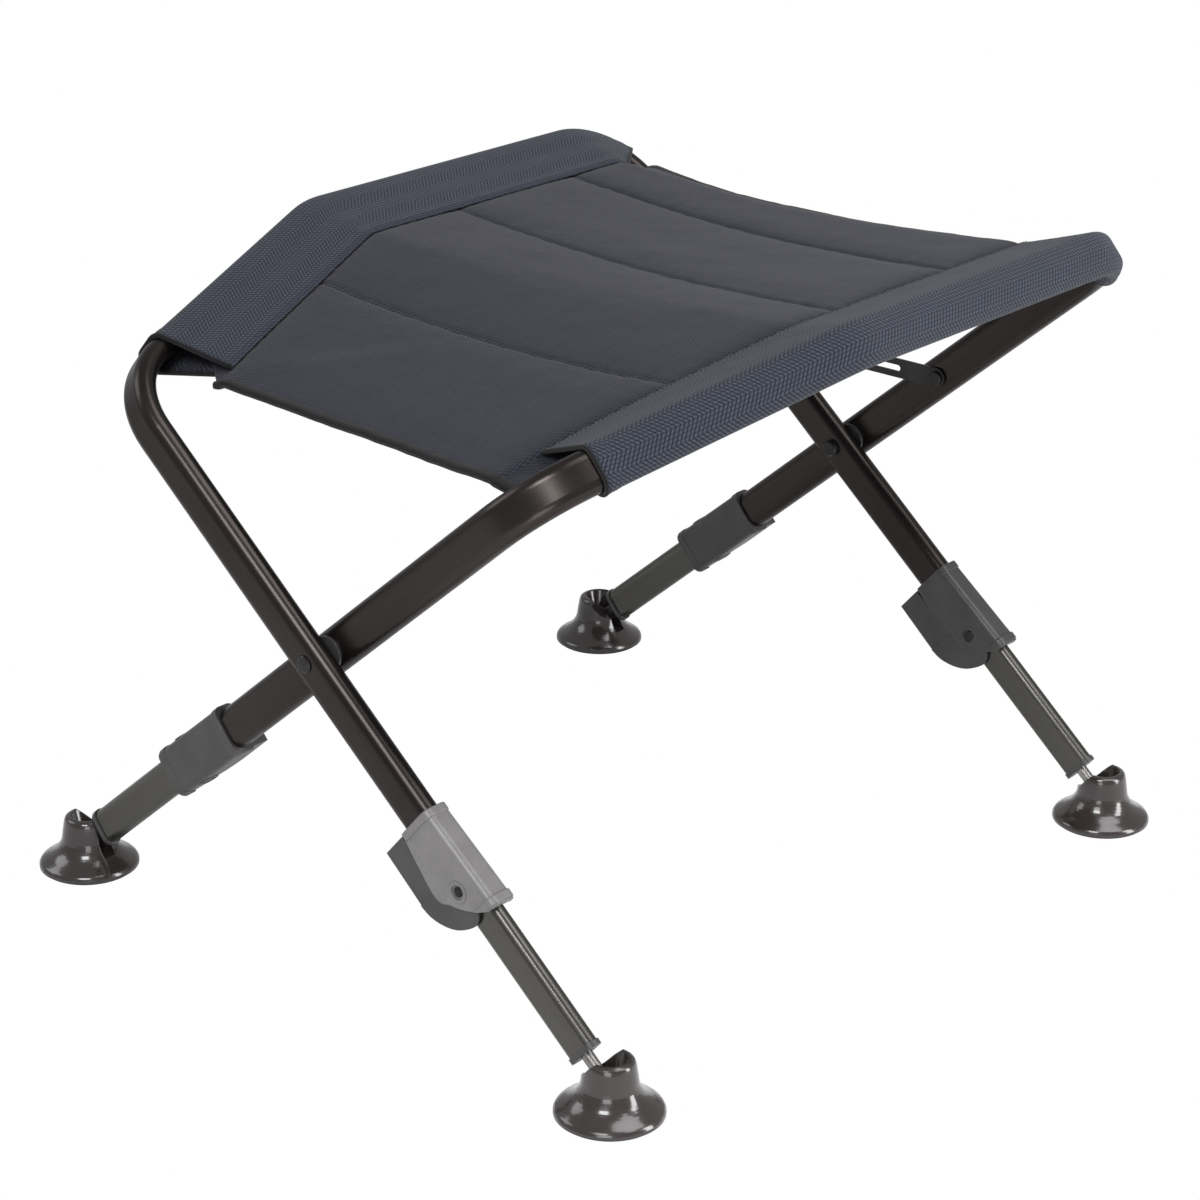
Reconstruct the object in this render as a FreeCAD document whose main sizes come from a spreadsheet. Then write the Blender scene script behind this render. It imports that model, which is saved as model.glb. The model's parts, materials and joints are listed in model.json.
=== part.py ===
import FreeCAD, Part
import math
import os
import Sketcher

# Folding camp stool: two U-shaped oval-tube frames cross on two pivot bolts and carry a fabric seat
# between their rails.  Each leg has a telescoping inner tube held by a clamp lever, and ends in a
# swivelling foot disc.  +Z is up, +Y runs along the rails, the origin is on the floor at the middle.

V = FreeCAD.Vector
doc = FreeCAD.newDocument("camp_stool")

# ---------------------------------------------------------------- driving dimensions (mm, degrees)
SIZES = [
    ("leg_tilt", 49.4, "angle of every leg from the vertical, stool open"),
    ("pivot_height", 224.3, "pivot axis above the floor"),
    ("frame_width", 536.6, "leg axis to leg axis of one frame"),
    ("frame_gap", 2.2, "space between the two frames where they cross"),
    ("tube_long", 28.0, "oval frame tube, long axis"),
    ("tube_thick", 15.0, "oval frame tube, short axis"),
    ("tube_wall", 1.4, "frame tube wall"),
    ("rail_reach", 295.5, "pivot axis to rail axis, along the leg"),
    ("rail_drop", 79.3, "how much shorter the near corner is"),
    ("rail_bend", 223.8, "near leg axis to the bend in the rail"),
    ("corner_radius", 55.0, "tube bend at the two corners"),
    ("bend_radius", 70.0, "tube bend in the rail"),
    ("tube_end", 151.5, "pivot axis to the open end of the frame tube"),
    ("inner_long", 24.4, "telescoping tube, long axis"),
    ("inner_thick", 11.4, "telescoping tube, short axis"),
    ("inner_wall", 1.3, "telescoping tube wall"),
    ("inner_top", 85.0, "pivot axis to the upper end of the telescoping tube"),
    ("inner_foot", 289.5, "pivot axis to the lower end of the telescoping tube"),
    ("ball_radius", 8.0, "ball on the stem"),
    ("stem_radius", 4.0, "stem between end plug and ball"),
    ("ball_height", 18.0, "centre of the ball above the floor"),
    ("disc_radius", 33.8, "foot disc"),
    ("cup_radius", 17.0, "hood over the ball, at the height of the ball"),
    ("cup_height", 38.0, "top of the hood's tall side"),
    ("trunnion_radius", 2.2, "pegs on the ball, the foot's tilt axis"),
    ("housing_wall", 1.6, "clamp housing wall around the frame tube"),
    ("cheek", 1.4, "thickness of the housing cheeks"),
    ("lever_cheek", 1.8, "thickness of the lever cheeks"),
    ("housing_top", 119.5, "pivot axis to the upper end of the clamp housing"),
    ("housing_mouth", 192.0, "pivot axis to the lower end of the clamp housing"),
    ("lever_top", 120.0, "pivot axis to the free end of the lever"),
    ("corner_soft", 5.5, "round corners of the clamp housing's section"),
    ("handle_half", 7.4, "half width of the lever's free end, near levers of frame a"),
    ("pin_down", 170.0, "pivot axis to the lever pin, along the leg"),
    ("pin_side", 1.0, "leg axis to the lever pin, towards the lever"),
    ("pin_head", 3.4, "head of the lever pin, radius"),
    ("boss_radius", 7.0, "ring around the lever pin"),
    ("pad_high", 136.0, "clamp pad window, upper end"),
    ("pad_low", 148.0, "clamp pad window, lower end"),
    ("pad_wide", 8.4, "clamp pad window, width"),
    ("stud_radius", 2.0, "stud of the stay, on frame a"),
    ("rivet_radius", 3.0, "rivet of the stay, on frame b"),
    ("run_gap", 0.3, "clearance between parts that move past each other"),
    ("pin_radius", 2.4, "clamp lever pin"),
    ("fit_gap", 0.05, "radial clearance of a shaft in its bore"),
    ("bolt_radius", 4.0, "pivot bolt shank"),
    ("sleeve_cloth", 1.6, "thickness of the sleeve cloth around the rail"),
    ("sleeve_near", 40.0, "near leg axis to the near end of the sleeve"),
    ("sleeve_turn", 60.0, "how far the sleeve follows the far corner, degrees"),
    ("seam_in", 55.0, "rail axis to the seam, towards the middle of the seat"),
    ("seam_drop", 1.0, "top of the seam below the rail axis"),
    ("seam_thick", 5.0, "cloth and padding at the seam"),
    ("panel_drop", 2.0, "panel top below the top of the seam"),
    ("panel_gap", 0.4, "panel edge to the seam, where they are closest"),
    ("corner_tuck", 6.0, "how far the panel edge is drawn in at the far corners"),
    ("panel_thick", 6.0, "padded seat panel"),
    ("sling_thick", 1.2, "sling sheet below the panel"),
    ("seat_near", 232.0, "middle to the near edge of the seat panel"),
    ("seat_far", 236.0, "middle to the far edge of the seat panel"),
    ("binding_radius", 2.5, "rolled binding on the free edges of the seat"),
    ("stay_reach", 101.7, "pivot axis to the stay's rivet and stud, along the legs"),
    ("stay_width", 14.0, "stay strip"),
    ("stay_solid", 33.0, "rivet to the start of the slot in the stay"),
    ("stay_thick", 1.5, "stay strip"),
]
dims = doc.addObject("Spreadsheet::Sheet", "dims")
for row, (name, value, note) in enumerate(SIZES, 1):
    dims.set("A%d" % row, name)
    dims.set("B%d" % row, str(value))
    dims.set("C%d" % row, note)
    dims.setAlias("B%d" % row, name)
doc.recompute()


class Size:
    """A number together with the sheet expression that gives it, so that features can be bound to it."""

    def __init__(self, value, text):
        self.v, self.e = float(value), text

    def join(self, other, sign, turned=False):
        a, b = self, size(other)
        if turned:
            a, b = b, a
        value = {"+": a.v + b.v, "-": a.v - b.v, "*": a.v * b.v, "/": a.v / b.v if b.v else 0.0}[sign]
        return Size(value, "(%s %s %s)" % (a.e, sign, b.e))

    def __add__(self, o): return self.join(o, "+")
    def __radd__(self, o): return self.join(o, "+", True)
    def __sub__(self, o): return self.join(o, "-")
    def __rsub__(self, o): return self.join(o, "-", True)
    def __mul__(self, o): return self.join(o, "*")
    def __rmul__(self, o): return self.join(o, "*", True)
    def __truediv__(self, o): return self.join(o, "/")
    def __rtruediv__(self, o): return self.join(o, "/", True)
    def __neg__(self): return self.join(-1, "*")


def size(x):
    return x if isinstance(x, Size) else Size(x, "(%.6f)" % x)


def sin(angle):
    return Size(math.sin(math.radians(angle.v)), "sin(%s * 1deg)" % angle.e)


def cos(angle):
    return Size(math.cos(math.radians(angle.v)), "cos(%s * 1deg)" % angle.e)


def atan(ratio):
    return Size(math.degrees(math.atan(ratio.v)), "(atan(%s) / 1deg)" % ratio.e)


D = {name: Size(value, "dims.%s" % name) for name, value, note in SIZES}


# ---------------------------------------------------------------- helpers
def bind(obj, prop, value):
    obj.setExpression(prop, size(value).e)


def body(name):
    b = doc.addObject("PartDesign::Body", name)
    b.Label = name
    return b


def sketch(b, name, plane, base=(0, 0, 0), turn=None):
    """A sketch on one of the body's origin planes, moved by base (sketch axes) and turned about its x."""
    sk = b.newObject("Sketcher::SketchObject", name)
    role = {"XY": "XY_Plane", "XZ": "XZ_Plane", "YZ": "YZ_Plane"}[plane]
    sk.AttachmentSupport = (next(o for o in b.Origin.OriginFeatures if o.Role == role), [""])
    sk.MapMode = "FlatFace"
    base = [size(c) for c in base]
    angle = size(turn) if turn is not None else size(0)
    sk.AttachmentOffset = FreeCAD.Placement(V(*[c.v for c in base]), FreeCAD.Rotation(V(1, 0, 0), angle.v))
    for axis, c in zip("xyz", base):
        bind(sk, "AttachmentOffset.Base.%s" % axis, c)
    if turn is not None:
        bind(sk, "AttachmentOffset.Rotation.Angle", angle)
    return sk


def fix(sk, geo, point, x, y):
    """Hold one point of the sketch at bound coordinates."""
    for kind, c in (("DistanceX", size(x)), ("DistanceY", size(y))):
        i = sk.addConstraint(Sketcher.Constraint(kind, -1, 1, geo, point, c.v))
        sk.setExpression("Constraints[%d]" % i, c.e)


def link(sk, *args):
    return sk.addConstraint(Sketcher.Constraint(*args))


def radius(sk, geo, r):
    i = link(sk, "Radius", geo, size(r).v)
    sk.setExpression("Constraints[%d]" % i, size(r).e)


def polygon(sk, points):
    points = [(size(x), size(y)) for x, y in points]
    first = None
    for k, (x, y) in enumerate(points):
        x2, y2 = points[(k + 1) % len(points)]
        g = sk.addGeometry(Part.LineSegment(V(x.v, y.v, 0), V(x2.v, y2.v, 0)))
        first = g if first is None else first
        if k:
            link(sk, "Coincident", g - 1, 2, g, 1)
        fix(sk, g, 1, x, y)
    link(sk, "Coincident", first + len(points) - 1, 2, first, 1)


def circle(sk, x, y, r):
    x, y = size(x), size(y)
    g = sk.addGeometry(Part.Circle(V(x.v, y.v, 0), V(0, 0, 1), size(r).v))
    radius(sk, g, r)
    fix(sk, g, 3, x, y)


def oval(sk, hx, hy, cx=0, cy=0):
    """A stadium with half sizes hx, hy: two straight sides and two half circles."""
    hx, hy, cx, cy = size(hx), size(hy), size(cx), size(cy)
    wide = hx.v >= hy.v
    r, half = (hy, hx - hy) if wide else (hx, hy - hx)
    a = (1, 0) if wide else (0, 1)
    ends = []
    for s in (1, -1):
        mx, my = cx + half * (s * a[0]), cy + half * (s * a[1])
        start = (-90 if wide else 0) if s == 1 else (90 if wide else 180)
        arc = Part.ArcOfCircle(Part.Circle(V(mx.v, my.v, 0), V(0, 0, 1), r.v),
                               math.radians(start), math.radians(start + 180))
        g = sk.addGeometry(arc)
        fix(sk, g, 3, mx, my)
        ends.append((g, mx, my))
    radius(sk, ends[0][0], r)
    lines = []
    for (g1, x1, y1), (g2, x2, y2) in (ends, ends[::-1]):
        e1 = sk.Geometry[g1].EndPoint
        s2 = sk.Geometry[g2].StartPoint
        lines.append((sk.addGeometry(Part.LineSegment(e1, s2)), g1, g2))
    for l, g1, g2 in lines:
        link(sk, "Tangent", g1, 2, l, 1)
        link(sk, "Tangent", l, 2, g2, 1)


def rounded(sk, hx, hy, rc, cx=0):
    """A rectangle with half sizes hx, hy and round corners, centred at cx."""
    hx, hy, rc, cx = size(hx), size(hy), size(rc), size(cx)
    arcs = []
    for sx, sy, start in ((1, -1, -90), (1, 1, 0), (-1, 1, 90), (-1, -1, 180)):
        mx, my = cx + (hx - rc) * sx, (hy - rc) * sy
        circ = Part.Circle(V(mx.v, my.v, 0), V(0, 0, 1), rc.v)
        g = sk.addGeometry(Part.ArcOfCircle(circ, math.radians(start), math.radians(start + 90)))
        fix(sk, g, 3, mx, my)
        radius(sk, g, rc)
        arcs.append(g)
    for g1, g2 in zip(arcs, arcs[1:] + arcs[:1]):
        side = sk.addGeometry(Part.LineSegment(sk.Geometry[g1].EndPoint, sk.Geometry[g2].StartPoint))
        link(sk, "Tangent", g1, 2, side, 1)
        link(sk, "Tangent", side, 2, g2, 1)


def smooth(points, n=3):
    """More points on a smooth curve through the given ones."""
    points = [(size(x), size(y)) for x, y in points]
    out = []
    for i in range(len(points) - 1):
        p0, p1, p2, p3 = (points[max(0, min(len(points) - 1, i + k))] for k in (-1, 0, 1, 2))
        for k in range(n):
            t = k / n
            w = ((-t + 2 * t**2 - t**3) / 2, (2 - 5 * t**2 + 3 * t**3) / 2,
                 (t + 4 * t**2 - 3 * t**3) / 2, (-t**2 + t**3) / 2)
            out.append(tuple(sum((p[c] * f for p, f in zip((p1, p2, p3), w[1:])), p0[c] * w[0])
                             for c in (0, 1)) if k else p1)
    return out + [points[-1]]


def soften(b, r, pick, name):
    """Round the edges of the body's last feature that pick accepts."""
    last = b.Tip
    edges = ["Edge%d" % (i + 1) for i, e in enumerate(last.Shape.Edges) if pick(e)]
    f = b.newObject("PartDesign::Fillet", name)
    f.Base = (last, edges)
    f.Radius = size(r).v
    bind(f, "Radius", r)
    doc.recompute()
    return f


def ring_at(z, r):
    """Picks circular edges of radius r at height z."""
    z, r = size(z), size(r)
    return lambda e: (isinstance(e.Curve, Part.Circle) and abs(e.Curve.Center.z - z.v) < 0.01
                      and abs(e.Curve.Radius - r.v) < 0.01 and abs(e.Curve.Axis.z) > 0.99)


def along_y(e):
    return isinstance(e.Curve, Part.Line) and abs(e.Curve.Direction.y) > 0.999


def pad(b, sk, length, both=False, back=False, name="Pad", cut=False):
    f = b.newObject("PartDesign::Pocket" if cut else "PartDesign::Pad", name)
    f.Profile = sk
    f.Midplane = both
    f.Reversed = back
    f.Length = size(length).v
    bind(f, "Length", length)
    sk.Visibility = False
    return f


def prism(name, plane, points, length, base=(0, 0, 0), both=True, back=False):
    b = body(name)
    sk = sketch(b, "Outline", plane, base)
    polygon(sk, points)
    pad(b, sk, length, both, back)
    doc.recompute()
    return b


def cut(b, plane, points, length, base=(0, 0, 0), both=True, back=False, name="Cut"):
    sk = sketch(b, name + "Outline", plane, base)
    polygon(sk, points)
    f = pad(b, sk, length, both, back, name, cut=True)
    doc.recompute()
    return f


def bore(b, plane, x, y, r, length, base=(0, 0, 0), both=True, back=False, name="Bore"):
    sk = sketch(b, name + "Circle", plane, base)
    circle(sk, x, y, r)
    f = pad(b, sk, length, both, back, name, cut=True)
    doc.recompute()
    return f


def turned(b, points, name="Turned"):
    """Revolve a closed outline (distance from axis, height) about the body's Z axis."""
    sk = sketch(b, name + "Outline", "XZ")
    polygon(sk, points)
    f = b.newObject("PartDesign::Revolution", name)
    f.Profile = sk
    f.ReferenceAxis = (sk, ["V_Axis"])
    f.Angle = 360.0
    sk.Visibility = False
    doc.recompute()
    return f


def ball_feature(b, r, height, subtract=False, name="Ball"):
    f = b.newObject("PartDesign::SubtractiveSphere" if subtract else "PartDesign::AdditiveSphere", name)
    f.Radius = size(r).v
    bind(f, "Radius", r)
    f.AttachmentSupport = (next(o for o in b.Origin.OriginFeatures if o.Role == "XY_Plane"), [""])
    f.MapMode = "FlatFace"
    f.AttachmentOffset = FreeCAD.Placement(V(0, 0, size(height).v), FreeCAD.Rotation())
    bind(f, "AttachmentOffset.Base.z", height)
    doc.recompute()
    return f


def put(obj, where, turn=0.0, axis=(0, 1, 0)):
    """Place an object: where is (x, y, z) and turn an angle about axis, all bound."""
    where = [size(c) for c in where]
    turn = size(turn)
    obj.Placement = FreeCAD.Placement(V(*[c.v for c in where]), FreeCAD.Rotation(V(*axis), turn.v))
    for a, c in zip("xyz", where):
        bind(obj, "Placement.Base.%s" % a, c)
    bind(obj, "Placement.Rotation.Angle", turn)


NODES = []      # (object, node name)


def node(obj, name=None):
    if name:
        obj.Label = name
    NODES.append(obj)
    return obj


# ---------------------------------------------------------------- derived sizes
tilt = D["leg_tilt"]
half_w = D["frame_width"] / 2
frame_shift = (D["tube_thick"] + D["frame_gap"]) / 2       # each frame is moved this far along Y
y_outer = half_w + frame_shift
y_inner = half_w - frame_shift
zp = D["pivot_height"]
rail_angle = atan(D["rail_drop"] / D["rail_bend"])
tl, tt = D["tube_long"] / 2, D["tube_thick"] / 2
il, it = D["inner_long"] / 2, D["inner_thick"] / 2

# every leg: (name, frame, y of its axis)
LEGS = [("a_near", "a", -y_outer), ("a_far", "a", y_inner), ("b_near", "b", -y_inner), ("b_far", "b", y_outer)]


def on_leg(obj, frame, y):
    """Leg frame: origin on the pivot axis, local z up the leg, local y along Y."""
    put(obj, (0, y, zp), -tilt if frame == "a" else tilt)


def on_clamp(obj, frame, y):
    """Clamp frame: like the leg frame, but local x points to the side that carries the lever."""
    quarter = 180.0 if frame == "a" else 90.0
    t = -tilt.v if frame == "a" else tilt.v
    rot = FreeCAD.Rotation(V(0, 1, 0), t).multiply(FreeCAD.Rotation(V(0, 0, 1), quarter))
    obj.Placement = FreeCAD.Placement(V(0, size(y).v, zp.v), rot)
    bind(obj, "Placement.Base.y", y)
    bind(obj, "Placement.Base.z", zp)


# ---------------------------------------------------------------- the two frame tubes
def rail_spine(b, name, start, end_turn):
    """The tube's centre line in the frame plane.  start 0: from the near leg's end, 1: from the sleeve's
    near end.  end_turn: None goes down to the far leg's end, otherwise degrees around the far corner."""
    sk = sketch(b, name, "YZ")
    w, reach, drop = half_w, D["rail_reach"], D["rail_drop"]
    R, Rm = D["corner_radius"], D["bend_radius"]
    phi = math.radians(rail_angle.v)
    low = reach - drop
    # corner points and tangent lengths, for starting values only
    c1, c2, c3 = (-w.v, low.v), (-w.v + D["rail_bend"].v, reach.v), (w.v, reach.v)
    t1 = R.v * math.tan((math.pi / 2 - phi) / 2)
    t2 = Rm.v * math.tan(phi / 2)
    d = (math.cos(phi), math.sin(phi))
    a1 = (c1[0], c1[1] - t1)
    b1 = (c1[0] + t1 * d[0], c1[1] + t1 * d[1])
    a2 = (c2[0] - t2 * d[0], c2[1] - t2 * d[1])
    b2 = (c2[0] + t2, c2[1])
    a3 = (c3[0] - R.v, c3[1])
    m1 = (a1[0] + R.v, a1[1])
    m2 = (b2[0], b2[1] - Rm.v)
    m3 = (a3[0], a3[1] - R.v)

    def line(p, q):
        return sk.addGeometry(Part.LineSegment(V(p[0], p[1], 0), V(q[0], q[1], 0)))

    def arc(m, r, a, e):
        return sk.addGeometry(Part.ArcOfCircle(Part.Circle(V(m[0], m[1], 0), V(0, 0, 1), r),
                                               math.radians(a), math.radians(e)))
    begin = -w.v + D["sleeve_near"].v
    first = (begin, c1[1] + (begin - c1[0]) * math.tan(phi)) if start else b1
    turn = size(90 if end_turn is None else end_turn)
    if not start:
        leg = line((c1[0], -D["tube_end"].v), a1)
        arc1 = arc(m1, R.v, 90 + math.degrees(phi), 180)
    slope = line(first, a2)
    arc2 = arc(m2, Rm.v, 90, 90 + math.degrees(phi))
    flat = line(b2, a3)
    arc3 = arc(m3, R.v, 90 - turn.v, 90)
    fix(sk, arc3, 3, w - R, reach - R)
    radius(sk, arc3, R)
    radius(sk, arc2, Rm)
    link(sk, "Horizontal", flat)
    if not start:
        link(sk, "Vertical", leg)
        fix(sk, leg, 1, -w, -D["tube_end"])
        link(sk, "Tangent", leg, 2, arc1, 2)
        link(sk, "Tangent", arc1, 1, slope, 1)
        radius(sk, arc1, R)
    link(sk, "Tangent", slope, 2, arc2, 2)
    link(sk, "Tangent", arc2, 1, flat, 1)
    link(sk, "Tangent", flat, 2, arc3, 2)
    # the sloping line runs through the two corner points
    for x, y in ((-w, low), (-w + D["rail_bend"], reach)):
        p = sk.addGeometry(Part.Point(V(size(x).v, size(y).v, 0)), True)
        fix(sk, p, 1, x, y)
        link(sk, "PointOnObject", p, 1, slope)
    if start:
        i = link(sk, "DistanceX", -1, 1, slope, 1, first[0])
        sk.setExpression("Constraints[%d]" % i, (-w + D["sleeve_near"]).e)
        i = link(sk, "DistanceX", -1, 1, arc3, 1, sk.Geometry[arc3].StartPoint.x)
        sk.setExpression("Constraints[%d]" % i, (w - R + R * sin(turn)).e)
    if end_turn is None:
        last = line((w.v, m3[1]), (w.v, -D["tube_end"].v))
        link(sk, "Vertical", last)
        link(sk, "Tangent", arc3, 1, last, 1)
        i = link(sk, "DistanceY", -1, 1, last, 2, -D["tube_end"].v)
        sk.setExpression("Constraints[%d]" % i, (-D["tube_end"]).e)
    sk.Visibility = False
    return sk


def pipe(b, profile, spine, name, subtract=False):
    f = b.newObject("PartDesign::SubtractivePipe" if subtract else "PartDesign::AdditivePipe", name)
    f.Profile = profile
    f.Spine = (spine, [])
    f.Mode = "Binormal"
    f.Binormal = V(1, 0, 0)
    profile.Visibility = False
    doc.recompute()
    return f


def frame_tube(frame):
    b = body("frame_tube_" + frame)
    spine = rail_spine(b, "CentreLine", False, None)
    for name, inset, subtract in (("Outside", size(0), False), ("Inside", D["tube_wall"], True)):
        sk = sketch(b, name + "Section", "XY", (0, 0, -D["tube_end"]))
        oval(sk, tl - inset, tt - inset, 0, -half_w)
        doc.recompute()
        pipe(b, sk, spine, name, subtract)
    hole = D["bolt_radius"] if frame == "a" else D["bolt_radius"] + 1.5
    bore(b, "XZ", 0, 0, hole, D["frame_width"] + 60, name="PivotBore")
    # windows for the clamp pads, on the side that carries the lever
    low, high = -(D["pad_low"]), -(D["pad_high"])
    side = D["pad_wide"] / 2
    for k, s in enumerate((-1, 1)):
        if frame == "a":
            rect = [(half_w * s - side, low), (half_w * s + side, low),
                    (half_w * s + side, high), (half_w * s - side, high)]
            cut(b, "YZ", rect, 8, (0, 0, -tl), name="PadWindow%d" % k)
        else:
            rect = [(-side, low), (side, low), (side, high), (-side, high)]
            cut(b, "XZ", rect, 6, (0, 0, -(half_w * s + tt)), name="PadWindow%d" % k)
    # far leg: hole for the stay's stud (frame a) or rivet (frame b)
    stay = D["stud_radius"] if frame == "a" else D["rivet_radius"]
    bore(b, "XZ", 0, D["stay_reach"], stay, 40, (0, 0, -half_w), name="StayBore")
    put(b, (0, -frame_shift if frame == "a" else frame_shift, zp), -tilt if frame == "a" else tilt)
    return node(b)


def seam_point(inboard, rise):
    """Section coordinates (across the frame plane, outwards in it) of a point given from the rail axis."""
    return inboard * cos(tilt) + rise * sin(tilt), rise * cos(tilt) - inboard * sin(tilt)


def sleeve_section(b, name, frame, r, top, bottom):
    """Closed cloth loop: round the tube and together at the seam."""
    side = 1 if frame == "a" else -1
    sk = sketch(b, name, "XZ", (0, D["rail_reach"] - D["rail_drop"] + D["sleeve_near"] * (D["rail_drop"]
                / D["rail_bend"]), half_w - D["sleeve_near"]), rail_angle)
    mid = (D["tube_long"] - D["tube_thick"]) / 2

    def touch(centre, point, sign):
        dx, dy = point[0].v - centre, point[1].v
        return math.degrees(math.atan2(dy, dx) + sign * math.acos(r.v / math.hypot(dx, dy)))
    up, down = touch(mid.v, top, 1), touch(-mid.v, bottom, -1)
    spans = [(mid, up, 90.0), (-mid, 90.0, down + 360.0)]
    arcs = []
    for centre, a, e in spans:
        if side < 0:
            a, e = 180 - e, 180 - a
        g = sk.addGeometry(Part.ArcOfCircle(Part.Circle(V(side * centre.v, 0, 0), V(0, 0, 1), r.v),
                                            math.radians(a), math.radians(e)))
        fix(sk, g, 3, side * centre, 0)
        radius(sk, g, r)
        arcs.append(g)
    upper, lower = arcs
    # end 1 is where an arc starts; mirrored arcs swap their ends
    one, two = (1, 2) if side > 0 else (2, 1)

    def end(g, which):
        return sk.Geometry[g].StartPoint if which == 1 else sk.Geometry[g].EndPoint
    flat = sk.addGeometry(Part.LineSegment(end(upper, two), end(lower, one)))
    link(sk, "Tangent", upper, two, flat, 1)
    link(sk, "Tangent", flat, 2, lower, one)
    corners = [top] if top is bottom else [top, bottom]
    pts = [V(side * p[0].v, p[1].v, 0) for p in corners]
    slope = sk.addGeometry(Part.LineSegment(end(upper, one), pts[0]))
    link(sk, "Tangent", upper, one, slope, 1)
    fix(sk, slope, 2, side * corners[0][0], corners[0][1])
    under = sk.addGeometry(Part.LineSegment(pts[-1], end(lower, two)))
    link(sk, "Tangent", under, 2, lower, two)
    if len(pts) == 2:
        edge = sk.addGeometry(Part.LineSegment(pts[0], pts[1]))
        link(sk, "Coincident", slope, 2, edge, 1)
        link(sk, "Coincident", edge, 2, under, 1)
        fix(sk, edge, 2, side * corners[1][0], corners[1][1])
    else:
        link(sk, "Coincident", slope, 2, under, 1)
    sk.Visibility = False
    return sk


def sleeve(frame):
    """Cloth sleeve around a rail, with the two layers brought together at the seam."""
    b = body("seat_sleeve_" + frame)
    spine = rail_spine(b, "CentreLine", True, D["sleeve_turn"])
    rise = -D["seam_drop"]
    outer = sleeve_section(b, "OutsideSection", frame, tt + D["sleeve_cloth"],
                           seam_point(D["seam_in"], rise), seam_point(D["seam_in"], rise - D["seam_thick"]))
    doc.recompute()
    pipe(b, outer, spine, "Cloth")
    tip = seam_point(D["seam_in"] - 12, rise - D["seam_thick"] / 2)
    inner = sleeve_section(b, "InsideSection", frame, tt + 0.1, tip, tip)
    doc.recompute()
    pipe(b, inner, spine, "Pocket", True)
    put(b, (0, -frame_shift if frame == "a" else frame_shift, zp), -tilt if frame == "a" else tilt)
    return node(b)


# ---------------------------------------------------------------- the seat panel
def seat_edges(thickness, drop):
    """Plan and side outline of the seat: lists of (x, y) corners and (y, z) corners, at the panel's top."""
    a, d, rise = tilt, D["seam_in"], -D["seam_drop"]
    out, up = seam_point(d, rise)
    slope = D["rail_drop"] / D["rail_bend"]
    q = out * cos(a) - up * cos(rail_angle) * sin(a)
    h = out * sin(a) + up * cos(rail_angle) * cos(a)
    low = D["rail_reach"] - D["rail_drop"]

    gap = D["panel_gap"] + D["bend_radius"] * (1 / cos(rail_angle / 2) - 1) * sin(a)

    def width(y):       # half width at a local y of the sloping part
        return (low + slope * (y + up * sin(rail_angle) + half_w)) * sin(a) - q - gap

    def height(y):
        return zp + (low + slope * (y + up * sin(rail_angle) + half_w)) * cos(a) + h - drop
    flat_x = D["rail_reach"] * sin(a) - d - gap
    flat_z = zp + D["rail_reach"] * cos(a) + rise - drop
    bend_x = D["rail_bend"] - half_w - up * sin(rail_angle) + (q - d) / (slope * sin(a))
    bend_z = bend_x
    near, far, sh = -D["seat_near"], D["seat_far"], frame_shift
    turn = half_w - D["corner_radius"]          # the seam starts to follow the far corner here
    tuck = D["corner_tuck"]
    plan = [(-width(near + sh), near), (width(near - sh), near), (flat_x, bend_x + sh), (flat_x, turn + sh),
            (flat_x - tuck, turn + sh + tuck * 1.3), (flat_x - tuck, far), (-flat_x + tuck, far),
            (-flat_x + tuck, turn - sh + tuck * 1.3), (-flat_x, turn - sh), (-flat_x, bend_x - sh)]
    z1 = height(near)
    side = [(near, z1), (bend_z, flat_z), (far, flat_z), (far, flat_z - thickness),
            (bend_z, flat_z - thickness), (near, z1 - thickness)]
    return plan, side


def seat_sheet(name, thickness, drop, inset=0):
    """A sheet that follows the side outline and is trimmed to the plan outline."""
    plan, side = seat_edges(thickness, drop)
    b = prism(name, "YZ", side, D["frame_width"])
    wide = D["frame_width"]
    g = size(inset)
    (x0, y0), (x1, y1), (x2, y2) = plan[:3]
    x9, y9 = plan[9]
    far = plan[5][1]
    if inset:
        cut(b, "XY", [(-wide, y0 - 5), (wide, y0 - 5), (wide, y0 + g), (-wide, y0 + g)], 1200, name="NearTrim")
        cut(b, "XY", [(-wide, far + 5), (wide, far + 5), (wide, far - g), (-wide, far - g)], 1200,
            name="FarTrim")
    right = ([(wide, y1 - 5), (x1 - g - 5 * (x2 - x1) / (y2 - y1), y1 - 5)]
             + [(x - g, y) for x, y in plan[2:5]] + [(plan[5][0] - g, far + 5), (wide, far + 5)])
    left = ([(-wide, y0 - 5), (x0 + g + 5 * (x0 - x9) / (y9 - y0), y0 - 5)]
            + [(x + g, y) for x, y in plan[9:6:-1]] + [(plan[6][0] + g, far + 5), (-wide, far + 5)])
    cut(b, "XY", right, 1200, name="RightTrim")
    cut(b, "XY", left, 1200, name="LeftTrim")
    return node(b)


def binding(name, near):
    """Rolled cloth binding along a free edge of the seat."""
    plan, side = seat_edges(D["panel_thick"], D["panel_drop"])
    r = D["binding_radius"]
    left, right = (plan[0][0], plan[1][0]) if near else (plan[6][0], plan[5][0])
    y, z = side[0] if near else side[2]
    y = y - r - 0.1 if near else y + r + 0.1
    z = z - D["panel_thick"] / 2
    rod = doc.addObject("Part::Cylinder", name)
    rod.Label = name
    bind(rod, "Radius", r)
    bind(rod, "Height", right - left - 4)
    put(rod, (left + 2, y, z), 90)
    return node(rod)


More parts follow.
